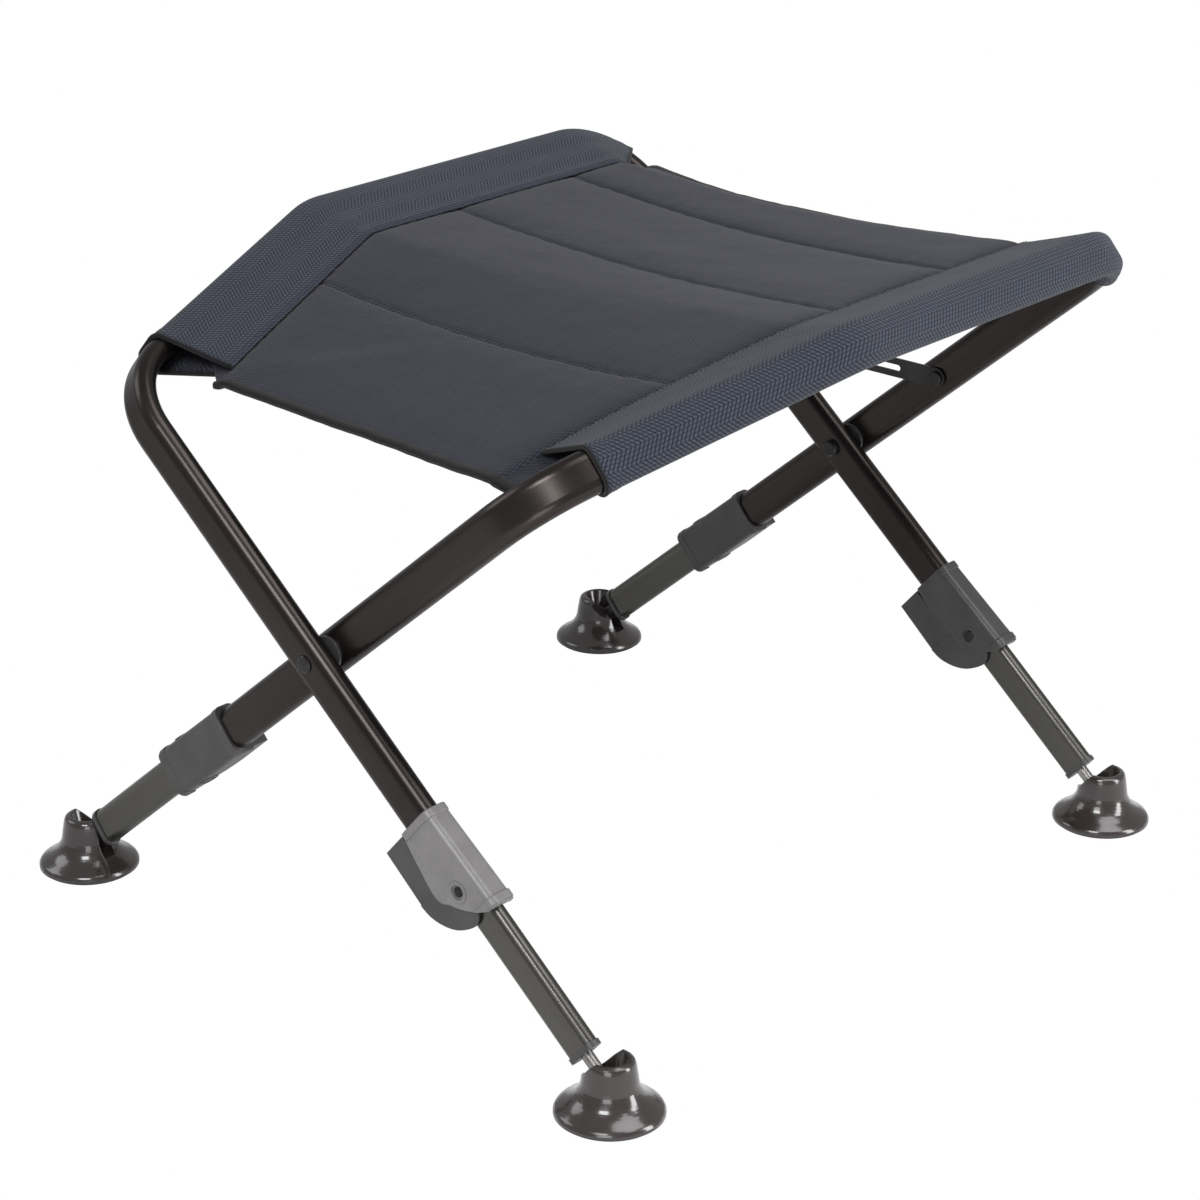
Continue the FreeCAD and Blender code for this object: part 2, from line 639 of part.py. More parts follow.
# ---------------------------------------------------------------- clamps (in the clamp frame)
def oval_pad(b, hx, hy, start, end, name, cut_it=False):
    """A stadium along the leg from start to end (distances down the leg from the pivot axis)."""
    sk = sketch(b, name + "Section", "XY", (0, 0, -size(end)))
    oval(sk, hx, hy)
    f = pad(b, sk, size(end) - start, back=cut_it, name=name, cut=cut_it)
    doc.recompute()
    return f


def halves(frame):
    """Half sizes of frame tube and inner tube, first towards the lever, then across."""
    return (tl, tt, il, it) if frame == "a" else (tt, tl, it, il)


def down_leg(points):
    return [(e, -size(t)) for t, e in points]


def rounded_pad(b, hx, hy, rc, start, end, name, cx=0):
    sk = sketch(b, name + "Section", "XY", (0, 0, -size(end)))
    rounded(sk, hx, hy, rc, cx)
    f = pad(b, sk, size(end) - start, name=name)
    doc.recompute()
    return f


def clamp_widths(frame):
    """Half widths across the clamp: lever inside, lever outside, cheek inside, cheek outside."""
    he, hw, hie, hiw = halves(frame)
    lever_in = hiw + 2 * D["run_gap"]
    lever_out = lever_in + D["lever_cheek"]
    cheek_in = lever_out + D["run_gap"]
    return lever_in, lever_out, cheek_in, cheek_in + D["cheek"]


def housing(name, frame, y):
    he, hw, hie, hiw = halves(frame)
    wall, gap, rc = D["housing_wall"], D["run_gap"], D["corner_soft"]
    cheek_in, cheek_out = clamp_widths(frame)[2:]
    b = body(name)
    top, seat, mouth = D["housing_top"], D["tube_end"] + 0.5, D["housing_mouth"]
    # the shell grows towards the mouth: more at the back of frame a's housings, which have room there
    grow, lip = (2.6, 1.0) if frame == "a" else (0.6, 0.3)
    upper = sketch(b, "ShellTop", "XY", (0, 0, -top))
    rounded(upper, he + wall, cheek_out, rc)
    lower = sketch(b, "ShellMouth", "XY", (0, 0, -mouth))
    rounded(lower, he + wall + grow / 2, cheek_out + 0.5, rc, -grow / 2)
    loft = b.newObject("PartDesign::AdditiveLoft", "Shell")
    loft.Profile, loft.Sections, loft.Ruled = upper, [lower], True
    upper.Visibility = lower.Visibility = False
    doc.recompute()
    # cheeks that bulge towards the lever
    sk = sketch(b, "CheekOutline", "XZ")
    bulge = 6 if frame == "a" else 3
    front = smooth([(top + 1, he - 1), (132, he + 2), (146, he + bulge * 0.8), (158, he + bulge + 1),
                    (167, he + bulge), (176, he * 0.9)], 2)
    polygon(sk, down_leg(front + [(180, 0), (top + 1, 0)]))
    pad(b, sk, 2 * cheek_out - 0.6, both=True, name="Cheeks")
    doc.recompute()
    for z, tag in ((top, "Bead"), (mouth - 6.5, "Flare")):
        wide = cheek_out + (0.8 if tag == "Bead" else 1.3)
        push = 0 if tag == "Bead" else grow / 2
        rounded_pad(b, he + wall + lip + push, wide, rc + 0.8, z, z + 5.5, tag, -push)
    ends = [ring_at(-size(z), rc + 0.8) for z in (top, top + 5.5, mouth - 6.5, mouth - 1)]
    soften(b, 0.7 if frame == "a" else 0.25, lambda e: any(at(e) for at in ends), "LipRound")
    oval_pad(b, he, hw, top - 1, seat, "TubeSeat", True)
    floor = -(hie + gap + 0.1)
    cut(b, "XZ", down_leg([(seat, floor), (seat, he + 30), (mouth + 5, he + 30), (mouth + 5, floor)]),
        2 * cheek_in, name="LeverSpace")
    edge = smooth([(166, he + bulge + 3), (171, he + 1.2), (177, he * 0.66), (183, he * 0.2), (188, he * -0.32),
                   (mouth - 0.5, he * -0.8), (mouth + 3, he * -0.86)], 3)
    cut(b, "XZ", down_leg(edge + [(mouth + 3, he + 30), (166, he + 30)]), 3 * cheek_out, name="FrontEdge")
    # pin bore with a ring around it and a recess for the head
    sk = sketch(b, "BossCircle", "XZ")
    circle(sk, D["pin_side"], -D["pin_down"], D["boss_radius"])
    pad(b, sk, 2 * cheek_out + 1.6, both=True, name="Boss")
    doc.recompute()
    cut(b, "XZ", down_leg([(seat, floor), (seat, he + 30), (mouth + 5, he + 30), (mouth + 5, floor)]),
        2 * cheek_in, name="BossSpace")
    bore(b, "XZ", D["pin_side"], -D["pin_down"], D["pin_radius"], 3 * cheek_out, name="PinBore")
    for k, s in enumerate((-1, 1)):
        bore(b, "XZ", D["pin_side"], -D["pin_down"], D["pin_head"] + 1.5, 5, (0, 0, s * (cheek_out - 0.5)),
             both=False, back=s > 0, name="HeadSpace%d" % k)
    side = D["pad_wide"] / 2
    cut(b, "YZ", [(-side, -D["pad_low"]), (side, -D["pad_low"]), (side, -D["pad_high"]), (-side, -D["pad_high"])],
        24, (0, 0, he + 6), name="PadWindow")
    on_clamp(b, frame, y)
    return node(b)


def lever(name, frame, y):
    he, hw, hie, hiw = halves(frame)
    lever_in, lever_out = clamp_widths(frame)[:2]
    b = body(name)
    top = D["lever_top"] if frame == "a" else D["lever_top"] + 5
    if frame == "a":
        deep = 24
        outer = [(158, he + deep), (168, he + 22.5), (178, he + 17), (186, he + 9), (191, he * 0.9),
                 (192, he * 0.4), (189, 0), (181, -6), (172, -8), (163, -5), (157, 2)]
    else:
        deep = 17
        outer = [(158, he + deep), (168, he + 15.5), (178, he + 12), (186, he + 6), (190, he + 1),
                 (187, 4.5), (181, 0.5), (174, -3), (168, -4), (162, -3), (157.5, 1)]
    inner = he + (8 if frame == "a" else 5)
    outline = [(153, inner), (top + 6, he + 3), (top, he + 3), (top, he + deep - 1)] + smooth(outer, 3)
    sk = sketch(b, "Outline", "XZ")
    polygon(sk, down_leg(outline))
    pad(b, sk, 2 * lever_out, both=True, name="Blank")
    doc.recompute()
    # hollow: only the cheeks and the outer wall remain
    shell = smooth([(157, he + deep - 3), (167, he + deep - 4.5), (176, he + deep - 9)], 3)
    hollow = [(top + 3, -30), (top + 3, he + deep - 3)] + shell + [(182, he + 10), (205, he + 12), (205, -30)]
    cut(b, "XZ", down_leg(hollow), 2 * lever_in, name="Hollow")
    bore(b, "XZ", D["pin_side"], -D["pin_down"], D["pin_radius"] + D["fit_gap"], 3 * lever_out, name="PinBore")
    # the handle end is narrower than the cheeks, so that it clears the other frame when folded
    for k, s in enumerate((-1, 1)):
        w1, w2 = D["handle_half"] * s, (lever_out + 2) * s
        strip = [(w1, -(top - 2)), (w2, -(top - 2)), (w2, -160), (w1, -158.5)] if frame == "a" else None
        if strip:
            cut(b, "YZ", strip, 60, (0, 0, he + 20), name="Waist%d" % k)
    on_clamp(b, frame, y)
    return node(b)


def clamp_pad(name, frame, y):
    he, hw, hie, hiw = halves(frame)
    side = D["pad_wide"] / 2 - 0.1
    low, high = D["pad_low"] - 0.1, D["pad_high"] + 0.1
    e1, e2 = hie + D["run_gap"], he + D["housing_wall"] + 1
    b = prism(name, "XZ", down_leg([(low, e1), (low, e2), (high, e2), (high, e1)]), 2 * side)
    on_clamp(b, frame, y)
    return node(b)


def clamp_pins(frame):
    """Two stub pins on every clamp of one frame, one node."""
    lever_in, cheek_out = clamp_widths(frame)[0], clamp_widths(frame)[3]
    out = cheek_out - 0.5
    pins = []
    for tag, fr, y in LEGS:
        if fr != frame:
            continue
        for s in (-1, 1):
            b = body("pin_%s_%s" % (tag, "l" if s < 0 else "r"))
            r, head = D["pin_radius"], D["pin_head"]
            turned(b, [(0, lever_in + 0.1), (r, lever_in + 0.1), (r, out), (head, out), (head, out + 0.5),
                       (head - 0.5, out + 0.9), (head - 1.5, out + 1.1), (0, out + 1.2)])
            where = FreeCAD.Placement(V(D["pin_side"].v, 0, -D["pin_down"].v),
                                      FreeCAD.Rotation(V(1, 0, 0), -90.0 * s))
            t = -tilt.v if frame == "a" else tilt.v
            quarter = 180.0 if frame == "a" else 90.0
            rot = FreeCAD.Rotation(V(0, 1, 0), t).multiply(FreeCAD.Rotation(V(0, 0, 1), quarter))
            b.Placement = FreeCAD.Placement(V(0, y.v, zp.v), rot).multiply(where)
            pins.append(b)
    group = doc.addObject("Part::Compound", "clamp_pins_" + frame)
    group.Links = pins
    group.Label = "clamp_pins_" + frame
    return node(group)


# ---------------------------------------------------------------- telescoping legs and feet
def inner_tube(name, frame, y):
    b = body(name)
    oval_pad(b, il, it, D["inner_top"], D["inner_foot"], "Tube")
    oval_pad(b, il - D["inner_wall"], it - D["inner_wall"], D["inner_top"] - 1, D["inner_foot"], "Bore", True)
    on_leg(b, frame, y)
    return node(b)


def tube_glide(name, frame, y):
    b = body(name)
    start = D["inner_top"]
    oval_pad(b, tl - D["tube_wall"] - 0.1, tt - D["tube_wall"] - 0.1, start - 3, start, "Lip")
    oval_pad(b, il - D["inner_wall"], it - D["inner_wall"], start - 0.5, start + 12, "Core")
    on_leg(b, frame, y)
    return node(b)


def end_plug(name, frame, y):
    b = body(name)
    end = D["inner_foot"]
    oval_pad(b, il + 1, it + 1, end, end + 3.5, "Lip")
    oval_pad(b, il - D["inner_wall"], it - D["inner_wall"], end - 18, end + 0.5, "Core")
    bore(b, "XY", 0, 0, D["stem_radius"], 14, (0, 0, -(end + 3.5) + 6), name="StemBore")
    on_leg(b, frame, y)
    return node(b)


ball_reach = (D["pivot_height"] - D["ball_height"]) / cos(tilt)


def ball_stem(name, frame, y):
    b = body(name)
    top = D["inner_foot"] + 3.5 - 13
    turned(b, [(0, -ball_reach), (D["stem_radius"], -ball_reach), (D["stem_radius"], -top), (0, -top)], "Stem")
    ball_feature(b, D["ball_radius"], -ball_reach)
    sk = sketch(b, "PegCircle", "XZ")
    circle(sk, 0, -ball_reach, D["trunnion_radius"])
    pad(b, sk, 2 * D["ball_radius"] + 4, both=True, name="Pegs")
    doc.recompute()
    on_leg(b, frame, y)
    return node(b)


def foot_cup(name, frame, y, hood="XZ"):
    """Disc, bell and hood in one piece.  hood: the plane across which the tall side rises."""
    b = body(name)
    R, r, H = D["disc_radius"], D["cup_radius"], D["cup_height"]
    z = D["ball_height"]
    dome = smooth([(R, 3.6), (R - 1.2, 5.6), (R - 4, 7.6), (R - 8, 10.2), (r + 4.5, 14.2), (r + 1.2, 20),
                   (r, 27), (r - 1.2, H - 4), (r - 2.4, H - 1.2), (r - 4.5, H)], 3)
    turned(b, [(0, 1.5), (R, 1.5)] + dome + [(0, H)])
    ball_feature(b, D["ball_radius"] + D["fit_gap"] + 0.03, z, True)
    sk = sketch(b, "ThroatOutline", "XZ")
    ball = D["ball_radius"]
    polygon(sk, [(0, z), (ball * 0.825, z + ball * 0.575), (r - 5.8, H - 1), (r - 5.8, H + 1), (0, H + 1)])
    f = b.newObject("PartDesign::Groove", "Throat")
    f.Profile = sk
    f.ReferenceAxis = (sk, ["V_Axis"])
    f.Angle = 360.0
    doc.recompute()
    slot = D["stem_radius"] + 0.9
    cut(b, "XZ", [(-25, z - 5), (0, z - 5), (0, H + 5), (-25, H + 5)], 2 * slot, name="StemSlot")
    rim = smooth([(-22, 22), (-14.5, 24.5), (-9, 29), (-4.5, 34.5), (-1, H - 0.2)], 3)
    cut(b, hood, [(-40, 22)] + rim + [(1, H + 1), (1, H + 20), (-40, H + 20)], 4 * r, name="Slant")
    bore(b, "XZ", 0, z, D["trunnion_radius"] + D["fit_gap"], 2 * D["ball_radius"] + 4.6, name="PegBore")
    put(b, (ball_reach * sin(tilt) * (1 if frame == "a" else -1), y, 0), 0 if frame == "a" else 180, (0, 0, 1))
    return node(b)


def foot_sole(name, frame, y):
    b = body(name)
    R = D["disc_radius"]
    turned(b, [(R - 16, 0.5), (R - 14, 0), (R - 2, 0), (R - 1, 1.5), (R - 16, 1.5)])
    put(b, (ball_reach * sin(tilt) * (1 if frame == "a" else -1), y, 0), 0 if frame == "a" else 180, (0, 0, 1))
    return node(b)


# ---------------------------------------------------------------- pivots and stay
def outward(obj, near, x=0, z=zp):
    """Local z points away from the stool along Y."""
    put(obj, (x, 0, z), 90 if near else -90, (1, 0, 0))


def pivot_parts(tag, near):
    bolt_r, g = D["bolt_radius"], D["run_gap"]
    outer_face, outer_back = y_outer + tt, y_outer - tt
    inner_face, inner_back = y_inner + tt, y_inner - tt
    flange = size(0.8)
    head = outer_face if near else outer_face + flange + g       # frame a is outside on the near side
    stop = inner_back - flange - g if near else inner_back
    b = body("pivot_bolt_" + tag)
    turned(b, [(0, stop - 3), (bolt_r, stop - 3), (bolt_r, head), (bolt_r * 1.4, head), (bolt_r * 1.4, head + 0.8),
               (bolt_r * 1.1, head + 1.6), (0, head + 1.9)])
    outward(b, near)
    node(b)
    b = body("pivot_cap_" + tag)
    turned(b, [(bolt_r, stop), (bolt_r * 1.5, stop), (bolt_r * 1.5, stop - 2.6), (bolt_r * 1.2, stop - 4),
               (0, stop - 4.2), (0, stop - 3), (bolt_r, stop - 3)])
    outward(b, near)
    node(b)
    b = body("pivot_bush_" + tag)
    bore_r, wide = bolt_r + D["fit_gap"], bolt_r + 1.5
    if near:
        turned(b, [(bore_r, inner_back - flange), (9, inner_back - flange), (9, inner_back), (wide, inner_back),
                   (wide, inner_face), (bore_r, inner_face)])
    else:
        turned(b, [(bore_r, outer_back), (wide, outer_back), (wide, outer_face), (9, outer_face),
                   (9, outer_face + flange), (bore_r, outer_face + flange)])
    outward(b, near)
    node(b)
    # spacer between the frames, fixed to frame b
    gap = outer_back - inner_face
    b = body("pivot_spacer_" + tag)
    sk = sketch(b, "Outline", "XZ", (0, 0, half_w if near else -(half_w + g / 2)))
    oval(sk, 11, 16.5)
    circle(sk, 0, 0, bolt_r + 0.3)
    f = pad(b, sk, gap - g, both=True)
    doc.recompute()
    put(b, (0, -g / 2 * -1 if near else 0, zp), tilt)
    return node(b)


def stay():
    span = 2 * D["stay_reach"] * sin(tilt)
    hy, g = D["stay_width"] / 2, D["run_gap"]
    b = body("stay_strip")
    sk = sketch(b, "Outline", "XZ")
    oval(sk, span / 2 + hy, hy, -span / 2, 0)
    circle(sk, 0, 0, D["rivet_radius"] + D["fit_gap"])
    slot = D["stud_radius"] + g
    start = D["stay_solid"]
    oval(sk, (span - start) / 2 + slot, slot, -(span + start) / 2, 0)
    pad(b, sk, D["stay_thick"], both=True)
    doc.recompute()
    put(b, (D["stay_reach"] * sin(tilt), half_w, zp + D["stay_reach"] * cos(tilt)))
    node(b)
    inner_face, inner_back = y_inner + tt, y_inner - tt
    outer_face, outer_back = y_outer + tt, y_outer - tt
    r = D["stud_radius"]
    b = body("stay_stud")
    turned(b, [(0, inner_back - 1.6), (r + 2, inner_back - 1.6), (r + 2, inner_back), (r, inner_back),
               (r, outer_back - g), (0, outer_back - g)])
    outward(b, False, -D["stay_reach"] * sin(tilt), zp + D["stay_reach"] * cos(tilt))
    node(b)
    r = D["rivet_radius"]
    low = half_w - D["stay_thick"] / 2 - 0.2
    b = body("stay_rivet")
    turned(b, [(0, low - 1.8), (r + 1.2, low - 1.8), (r + 2, low - 1), (r + 2, low), (r, low),
               (r, outer_face), (r + 2, outer_face), (r + 2, outer_face + 1.2), (0, outer_face + 1.2)])
    outward(b, False, D["stay_reach"] * sin(tilt), zp + D["stay_reach"] * cos(tilt))
    node(b)


# ---------------------------------------------------------------- build
for fr in ("a", "b"):
    frame_tube(fr)
    sleeve(fr)
seat_sheet("seat_panel", D["panel_thick"], D["panel_drop"])
seat_sheet("seat_sling", D["sling_thick"], D["panel_drop"] + D["panel_thick"], 3)
binding("seat_binding_near", True)
binding("seat_binding_far", False)
for tag, fr, y in LEGS:
    housing("clamp_housing_" + tag, fr, y)
    lever("clamp_lever_" + tag, fr, y)
    clamp_pad("clamp_pad_" + tag, fr, y)
    inner_tube("inner_tube_" + tag, fr, y)
    tube_glide("tube_glide_" + tag, fr, y)
    end_plug("end_plug_" + tag, fr, y)
    ball_stem("ball_stem_" + tag, fr, y)
    foot_cup("foot_cup_" + tag, fr, y, "YZ" if tag == "b_near" else "XZ")
    foot_sole("foot_sole_" + tag, fr, y)
for fr in ("a", "b"):
    clamp_pins(fr)
pivot_parts("near", True)
pivot_parts("far", False)
stay()
doc.recompute()

# ---------------------------------------------------------------- checks and export
wrong = ["%s of %s" % (o.Label, ", ".join(p.Label for p in o.InList)) for o in doc.Objects
         if "Invalid" in o.State or "Error" in o.State]
wrong += [o.Label + " has no valid solid" for o in NODES
          if o.Shape.isNull() or not o.Shape.isValid() or not o.Shape.Solids]
wrong += ["%s has %d solids" % (o.Label, len(o.Shape.Solids)) for o in NODES
          if len(o.Shape.Solids) != (4 if o.Label.startswith("clamp_pins") else 1)]
if wrong:
    raise RuntimeError("; ".join(wrong))
os.makedirs("parts", exist_ok=True)
for o in NODES:
    o.Shape.exportStep("parts/%s.step" % o.Label)
print("%d nodes written" % len(NODES))
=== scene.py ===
import json
import math
import bpy
import numpy as np
from mathutils import Matrix, Vector, noise


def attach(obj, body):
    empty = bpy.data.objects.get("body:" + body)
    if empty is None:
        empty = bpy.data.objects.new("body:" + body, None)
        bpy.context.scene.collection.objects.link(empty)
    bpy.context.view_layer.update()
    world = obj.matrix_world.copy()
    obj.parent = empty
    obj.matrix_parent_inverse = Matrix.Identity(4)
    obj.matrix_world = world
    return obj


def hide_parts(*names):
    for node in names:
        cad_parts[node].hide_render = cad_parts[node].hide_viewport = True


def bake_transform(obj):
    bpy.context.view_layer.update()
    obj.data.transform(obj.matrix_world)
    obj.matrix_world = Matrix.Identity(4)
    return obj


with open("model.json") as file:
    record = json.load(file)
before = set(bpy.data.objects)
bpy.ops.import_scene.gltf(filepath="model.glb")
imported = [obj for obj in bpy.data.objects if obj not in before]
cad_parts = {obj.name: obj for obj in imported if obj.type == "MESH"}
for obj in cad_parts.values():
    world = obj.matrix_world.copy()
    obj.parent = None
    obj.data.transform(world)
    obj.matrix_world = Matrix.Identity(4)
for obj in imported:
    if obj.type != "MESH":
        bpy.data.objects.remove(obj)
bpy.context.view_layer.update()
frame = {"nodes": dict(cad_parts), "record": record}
nodes = frame["nodes"]

# ------------------------------------------------------------------ sizes, in metres, as in the CAD sheet
TILT = math.radians(49.4)
PIVOT_Z, HALF_W, SHIFT = 0.2243, 0.2683, 0.0086
REACH, DROP, BEND_AT = 0.2955, 0.0793, 0.2238
R_CORNER, R_BEND = 0.055, 0.070
TUBE_L, TUBE_T = 0.014, 0.0075          # half sizes of the oval tube
SEAM_IN, SEAM_DROP = 0.055, 0.001
PHI = math.atan(DROP / BEND_AT)         # slope of the lower part of the rails
CT, ST = math.cos(TILT), math.sin(TILT)
SLEEVE_FROM = -HALF_W + 0.040           # the sleeves' near mouth
SLEEVE_TURN = math.radians(60)          # how far they go round the far corner
LAYER_GAP = 0.0056                      # between the sleeve's upper and lower layer at the seam
NEAR_Y, FAR_Y = -0.2345, 0.2385         # free edges of the panel, next to the rails
QUILT = [(-0.112, 0.0), (0.030, 0.009), (0.150, 0.0085)]        # (y in the middle, half the slant) of each seam
DROOP = {-1: 0.0015, 1: 0.0075}         # how much lower each side's seam hangs at the near end
DROOP_FADE = 0.055
UNDER = (0.006, 0.015, 0.025, 0.034)    # the panel goes on inside the sleeve, up to the tube
UNDER_SLOPE, UNDER_STEP = 0.06, 0.0009  # how the hidden strip falls away


def step_of(fine):
    return fine


# ------------------------------------------------------------------ the rail's centre line, in the frame plane
def rail_path(start_y, end_turn, step):
    """[(y, z, slope angle, length so far)] from the sloping part, round the bend, to end_turn past the far
    corner's start.  y runs along the stool, z up the leg from the pivot."""
    low = REACH - DROP
    c2 = (-HALF_W + BEND_AT, REACH)
    t2 = R_BEND * math.tan(PHI / 2)
    a2 = (c2[0] - t2 * math.cos(PHI), c2[1] - t2 * math.sin(PHI))
    b2 = (c2[0] + t2, REACH)
    a3 = (HALF_W - R_CORNER, REACH)
    first = (start_y, low + (start_y + HALF_W) * math.tan(PHI))
    out = []

    def run(p, q, ang):
        n = max(1, int(math.dist(p, q) / step))
        for i in range(n):
            f = i / n
            out.append((p[0] + (q[0] - p[0]) * f, p[1] + (q[1] - p[1]) * f, ang))

    def arc(cy, cz, r, a0, a1):
        n = max(3, int(abs(a1 - a0) * max(r, 0.03) / step))
        for i in range(n):
            a = a0 + (a1 - a0) * i / n
            out.append((cy - math.sin(a) * r, cz + math.cos(a) * r, a))
    run(first, a2, PHI)
    arc(b2[0], REACH - R_BEND, R_BEND, PHI, 0.0)
    run(b2, a3, 0.0)
    arc(a3[0], REACH - R_CORNER, R_CORNER, 0.0, -end_turn)
    a = -end_turn
    out.append((a3[0] - math.sin(a) * R_CORNER, REACH - R_CORNER + math.cos(a) * R_CORNER, a))
    full, length = [], 0.0
    for i, p in enumerate(out):
        if i:
            length += math.dist(p[:2], out[i - 1][:2])
        full.append((*p, length))
    return full


def to_world(side, x, y, z):
    """From the frame plane (x across it, inboard and up; y along; z up the leg) to the stool, side -1 for the
    frame whose rail is at -X and +1 for the other."""
    wx, wz = x * CT - z * ST, x * ST + z * CT
    return Vector((wx if side < 0 else -wx, y + (-SHIFT if side < 0 else SHIFT), PIVOT_Z + wz))


def at_rail(side, p, n, v):
    """Point of the section at path sample p: n across the frame plane, v outwards from the rail axis."""
    y, z, a = p[0], p[1], p[2]
    return to_world(side, n, y - math.sin(a) * v, z + math.cos(a) * v)


def section_of(inboard, rise):
    """A level offset from the rail axis, turned into the section's own directions (n, v)."""
    return inboard * CT + rise * ST, rise * CT - inboard * ST


def droop(side, y):
    """How much lower the seam hangs at y."""
    return DROOP[side] * math.exp(-max(0.0, y - NEAR_Y) / DROOP_FADE)


def fbm(p, scale, seed=0.0):
    """Smooth noise of a few octaves."""
    return noise.fractal(Vector(p) * scale + Vector((seed, seed * 1.7, -seed)), 1.0, 2.0, 3)


def across_loop(loop, i):
    """Unit direction that stands off the cloth at sample i of a sleeve loop, as (n, v) parts."""
    a, b = loop[min(i + 1, len(loop) - 1)], loop[max(i - 1, 0)]
    tn, tv = a[0] - b[0], a[1] - b[1]
    ln = math.hypot(tn, tv) or 1.0
    return tv / ln, tn / ln


def mesh_object(name, verts, faces, uvs):
    me = bpy.data.meshes.new(name)
    me.from_pydata([tuple(v) for v in verts], [], faces)
    layer = me.uv_layers.new(name="UVMap")
    for poly in me.polygons:
        for li in poly.loop_indices:
            layer.data[li].uv = uvs[me.loops[li].vertex_index]
    me.update()
    me.validate()
    for poly in me.polygons:
        poly.use_smooth = True
    ob = bpy.data.objects.new(name, me)
    bpy.context.scene.collection.objects.link(ob)
    return ob


# ------------------------------------------------------------------ sleeves
def sleeve_loop(r, low):
    """The cloth's way round the rail: [(n, v, slack, length so far)] from the upper seam point to the lower
    one, at radius r from the tube's two end axes, with the seam hanging lower by low."""
    mid = TUBE_L - TUBE_T
    top = section_of(SEAM_IN, -SEAM_DROP - low)
    bottom = section_of(SEAM_IN, -SEAM_DROP - LAYER_GAP - low)

    def touch(centre, pt, sign):
        dx, dy = pt[0] - centre, pt[1]
        return math.atan2(dy, dx) + sign * math.acos(r / math.hypot(dx, dy))
    up, down = touch(mid, top, 1), touch(-mid, bottom, -1) + 2 * math.pi
    pts = []
    flap = 12                           # samples on each flat flap

    def line(p, q, count, slack):
        for i in range(count):
            f = i / count
            s = slack * math.sin(math.pi * f)
            pts.append((p[0] + (q[0] - p[0]) * f, p[1] + (q[1] - p[1]) * f, s))

    def arc(c, a0, a1, count):
        for i in range(count):
            a = a0 + (a1 - a0) * i / count
            pts.append((c + r * math.cos(a), r * math.sin(a), 0.0))
    line(top, (mid + r * math.cos(up), r * math.sin(up)), flap, 1.0)
    arc(mid, up, math.pi / 2, 8)
    line((mid, r), (-mid, r), 4, 0.1)
    arc(-mid, math.pi / 2, down, 14)
    line((-mid + r * math.cos(down), r * math.sin(down)), bottom, flap, 1.0)
    pts.append((bottom[0], bottom[1], 0.0))
    out, length = [], 0.0
    for i, p in enumerate(pts):
        if i:
            length += math.dist(p[:2], pts[i - 1][:2])
        out.append((*p, length))
    return out


def build_sleeve(side, name):
    path = rail_path(SLEEVE_FROM, SLEEVE_TURN, step_of(0.004))
    total = path[-1][3]
    hem_width = 0.009
    grid, uvs = [], []
    for p in path:
        edge = min(p[3], total - p[3])
        hem = 1.0 if edge < hem_width else max(0.0, 1 - (edge - hem_width) / 0.0012)
        roll = math.exp(-(edge / 0.0022) ** 2)
        r = TUBE_T + 0.0017 + 0.0005 * hem + 0.0007 * roll
        loop = sleeve_loop(r, droop(side, p[0] + side * SHIFT))
        loop_n = len(loop)
        for i, (n, v, slack, g) in enumerate(loop):
            w = at_rail(side, p, n, v)
            bump = 0.0007 * slack * fbm((p[3] * 1.0, g, side * 3.0), 20.0, 1.0)
            bump += 0.0003 * slack * fbm((p[3] * 0.35, g, side * 5.0), 60.0, 2.0)
            bump -= 0.0010 * slack * (0.5 + 0.2 * math.sin(p[3] * 23 + side))
            # small gathers where the cloth is sewn down
            near_seam = max(0.0, 1 - g / 0.010)
            bump += 0.00035 * near_seam * math.sin(p[3] * 640 + 2 * fbm((p[3], 0, 0), 60.0, 4.0))
            dn, dv = across_loop(loop, i)
            off = at_rail(side, p, n + dn, v - dv) - w
            grid.append(w + off.normalized() * bump)
            uvs.append((p[3], g + (0.5 if side > 0 else 0.0)))
    faces = []
    for j in range(len(path) - 1):
        for i in range(loop_n - 1):
            a, b = j * loop_n + i, j * loop_n + i + 1
            c, d = a + loop_n, b + loop_n
            faces.append((a, b, d, c) if side > 0 else (a, c, d, b))
    ob = mesh_object(name, grid, faces, uvs)
    solid = ob.modifiers.new("cloth", "SOLIDIFY")
    solid.thickness, solid.offset = 0.0013, -1.0
    solid.use_even_offset = False
    solid.use_rim = True
    return ob, path


def build_hem_and_mouth_shade(side, p, name):
    """Dark cord round the sleeve's mouth: partly the dark edging of the mouth, partly painted shade standing in
    for the shadow line inside the mouth.
    """
    loop = sleeve_loop(TUBE_T + 0.0014, droop(side, p[0] + side * SHIFT))
    pts, ups = [], []
    for i, (n, v, _, _) in enumerate(loop):
        dn, dv = across_loop(loop, i)
        w = at_rail(side, p, n, v)
        pts.append(w)
        ups.append((at_rail(side, p, n + dn, v - dv) - w).normalized())
    ob, _ = tube_along(name, pts, ups, 0.0011, 0.0016, 10)
    return ob


def apply_modifiers(ob):
    """Write the sleeve's thickness into its mesh."""
    dg = bpy.context.evaluated_depsgraph_get()
    me = bpy.data.meshes.new_from_object(ob.evaluated_get(dg), preserve_all_data_layers=True, depsgraph=dg)
    old = ob.data
    ob.modifiers.clear()
    ob.data = me
    bpy.data.meshes.remove(old)
    me.name = ob.name


# ------------------------------------------------------------------ the seat panel
def edge_samples(side):
    """World positions of the panel's long edge, where it is sewn to the sleeve."""
    out = []
    for p in rail_path(-HALF_W + 0.012, math.radians(75), 0.003):
        n, v = section_of(SEAM_IN, -SEAM_DROP - droop(side, p[0] + side * SHIFT))
        out.append(at_rail(side, p, n, v))
    return out


EDGE = {side: np.array(edge_samples(side)).T for side in (-1, 1)}


def edge_at(side, y):
    """(x, z) of the panel's long edge at y."""
    xs, ys, zs = EDGE[side]
    return float(np.interp(y, ys, xs)), float(np.interp(y, ys, zs))


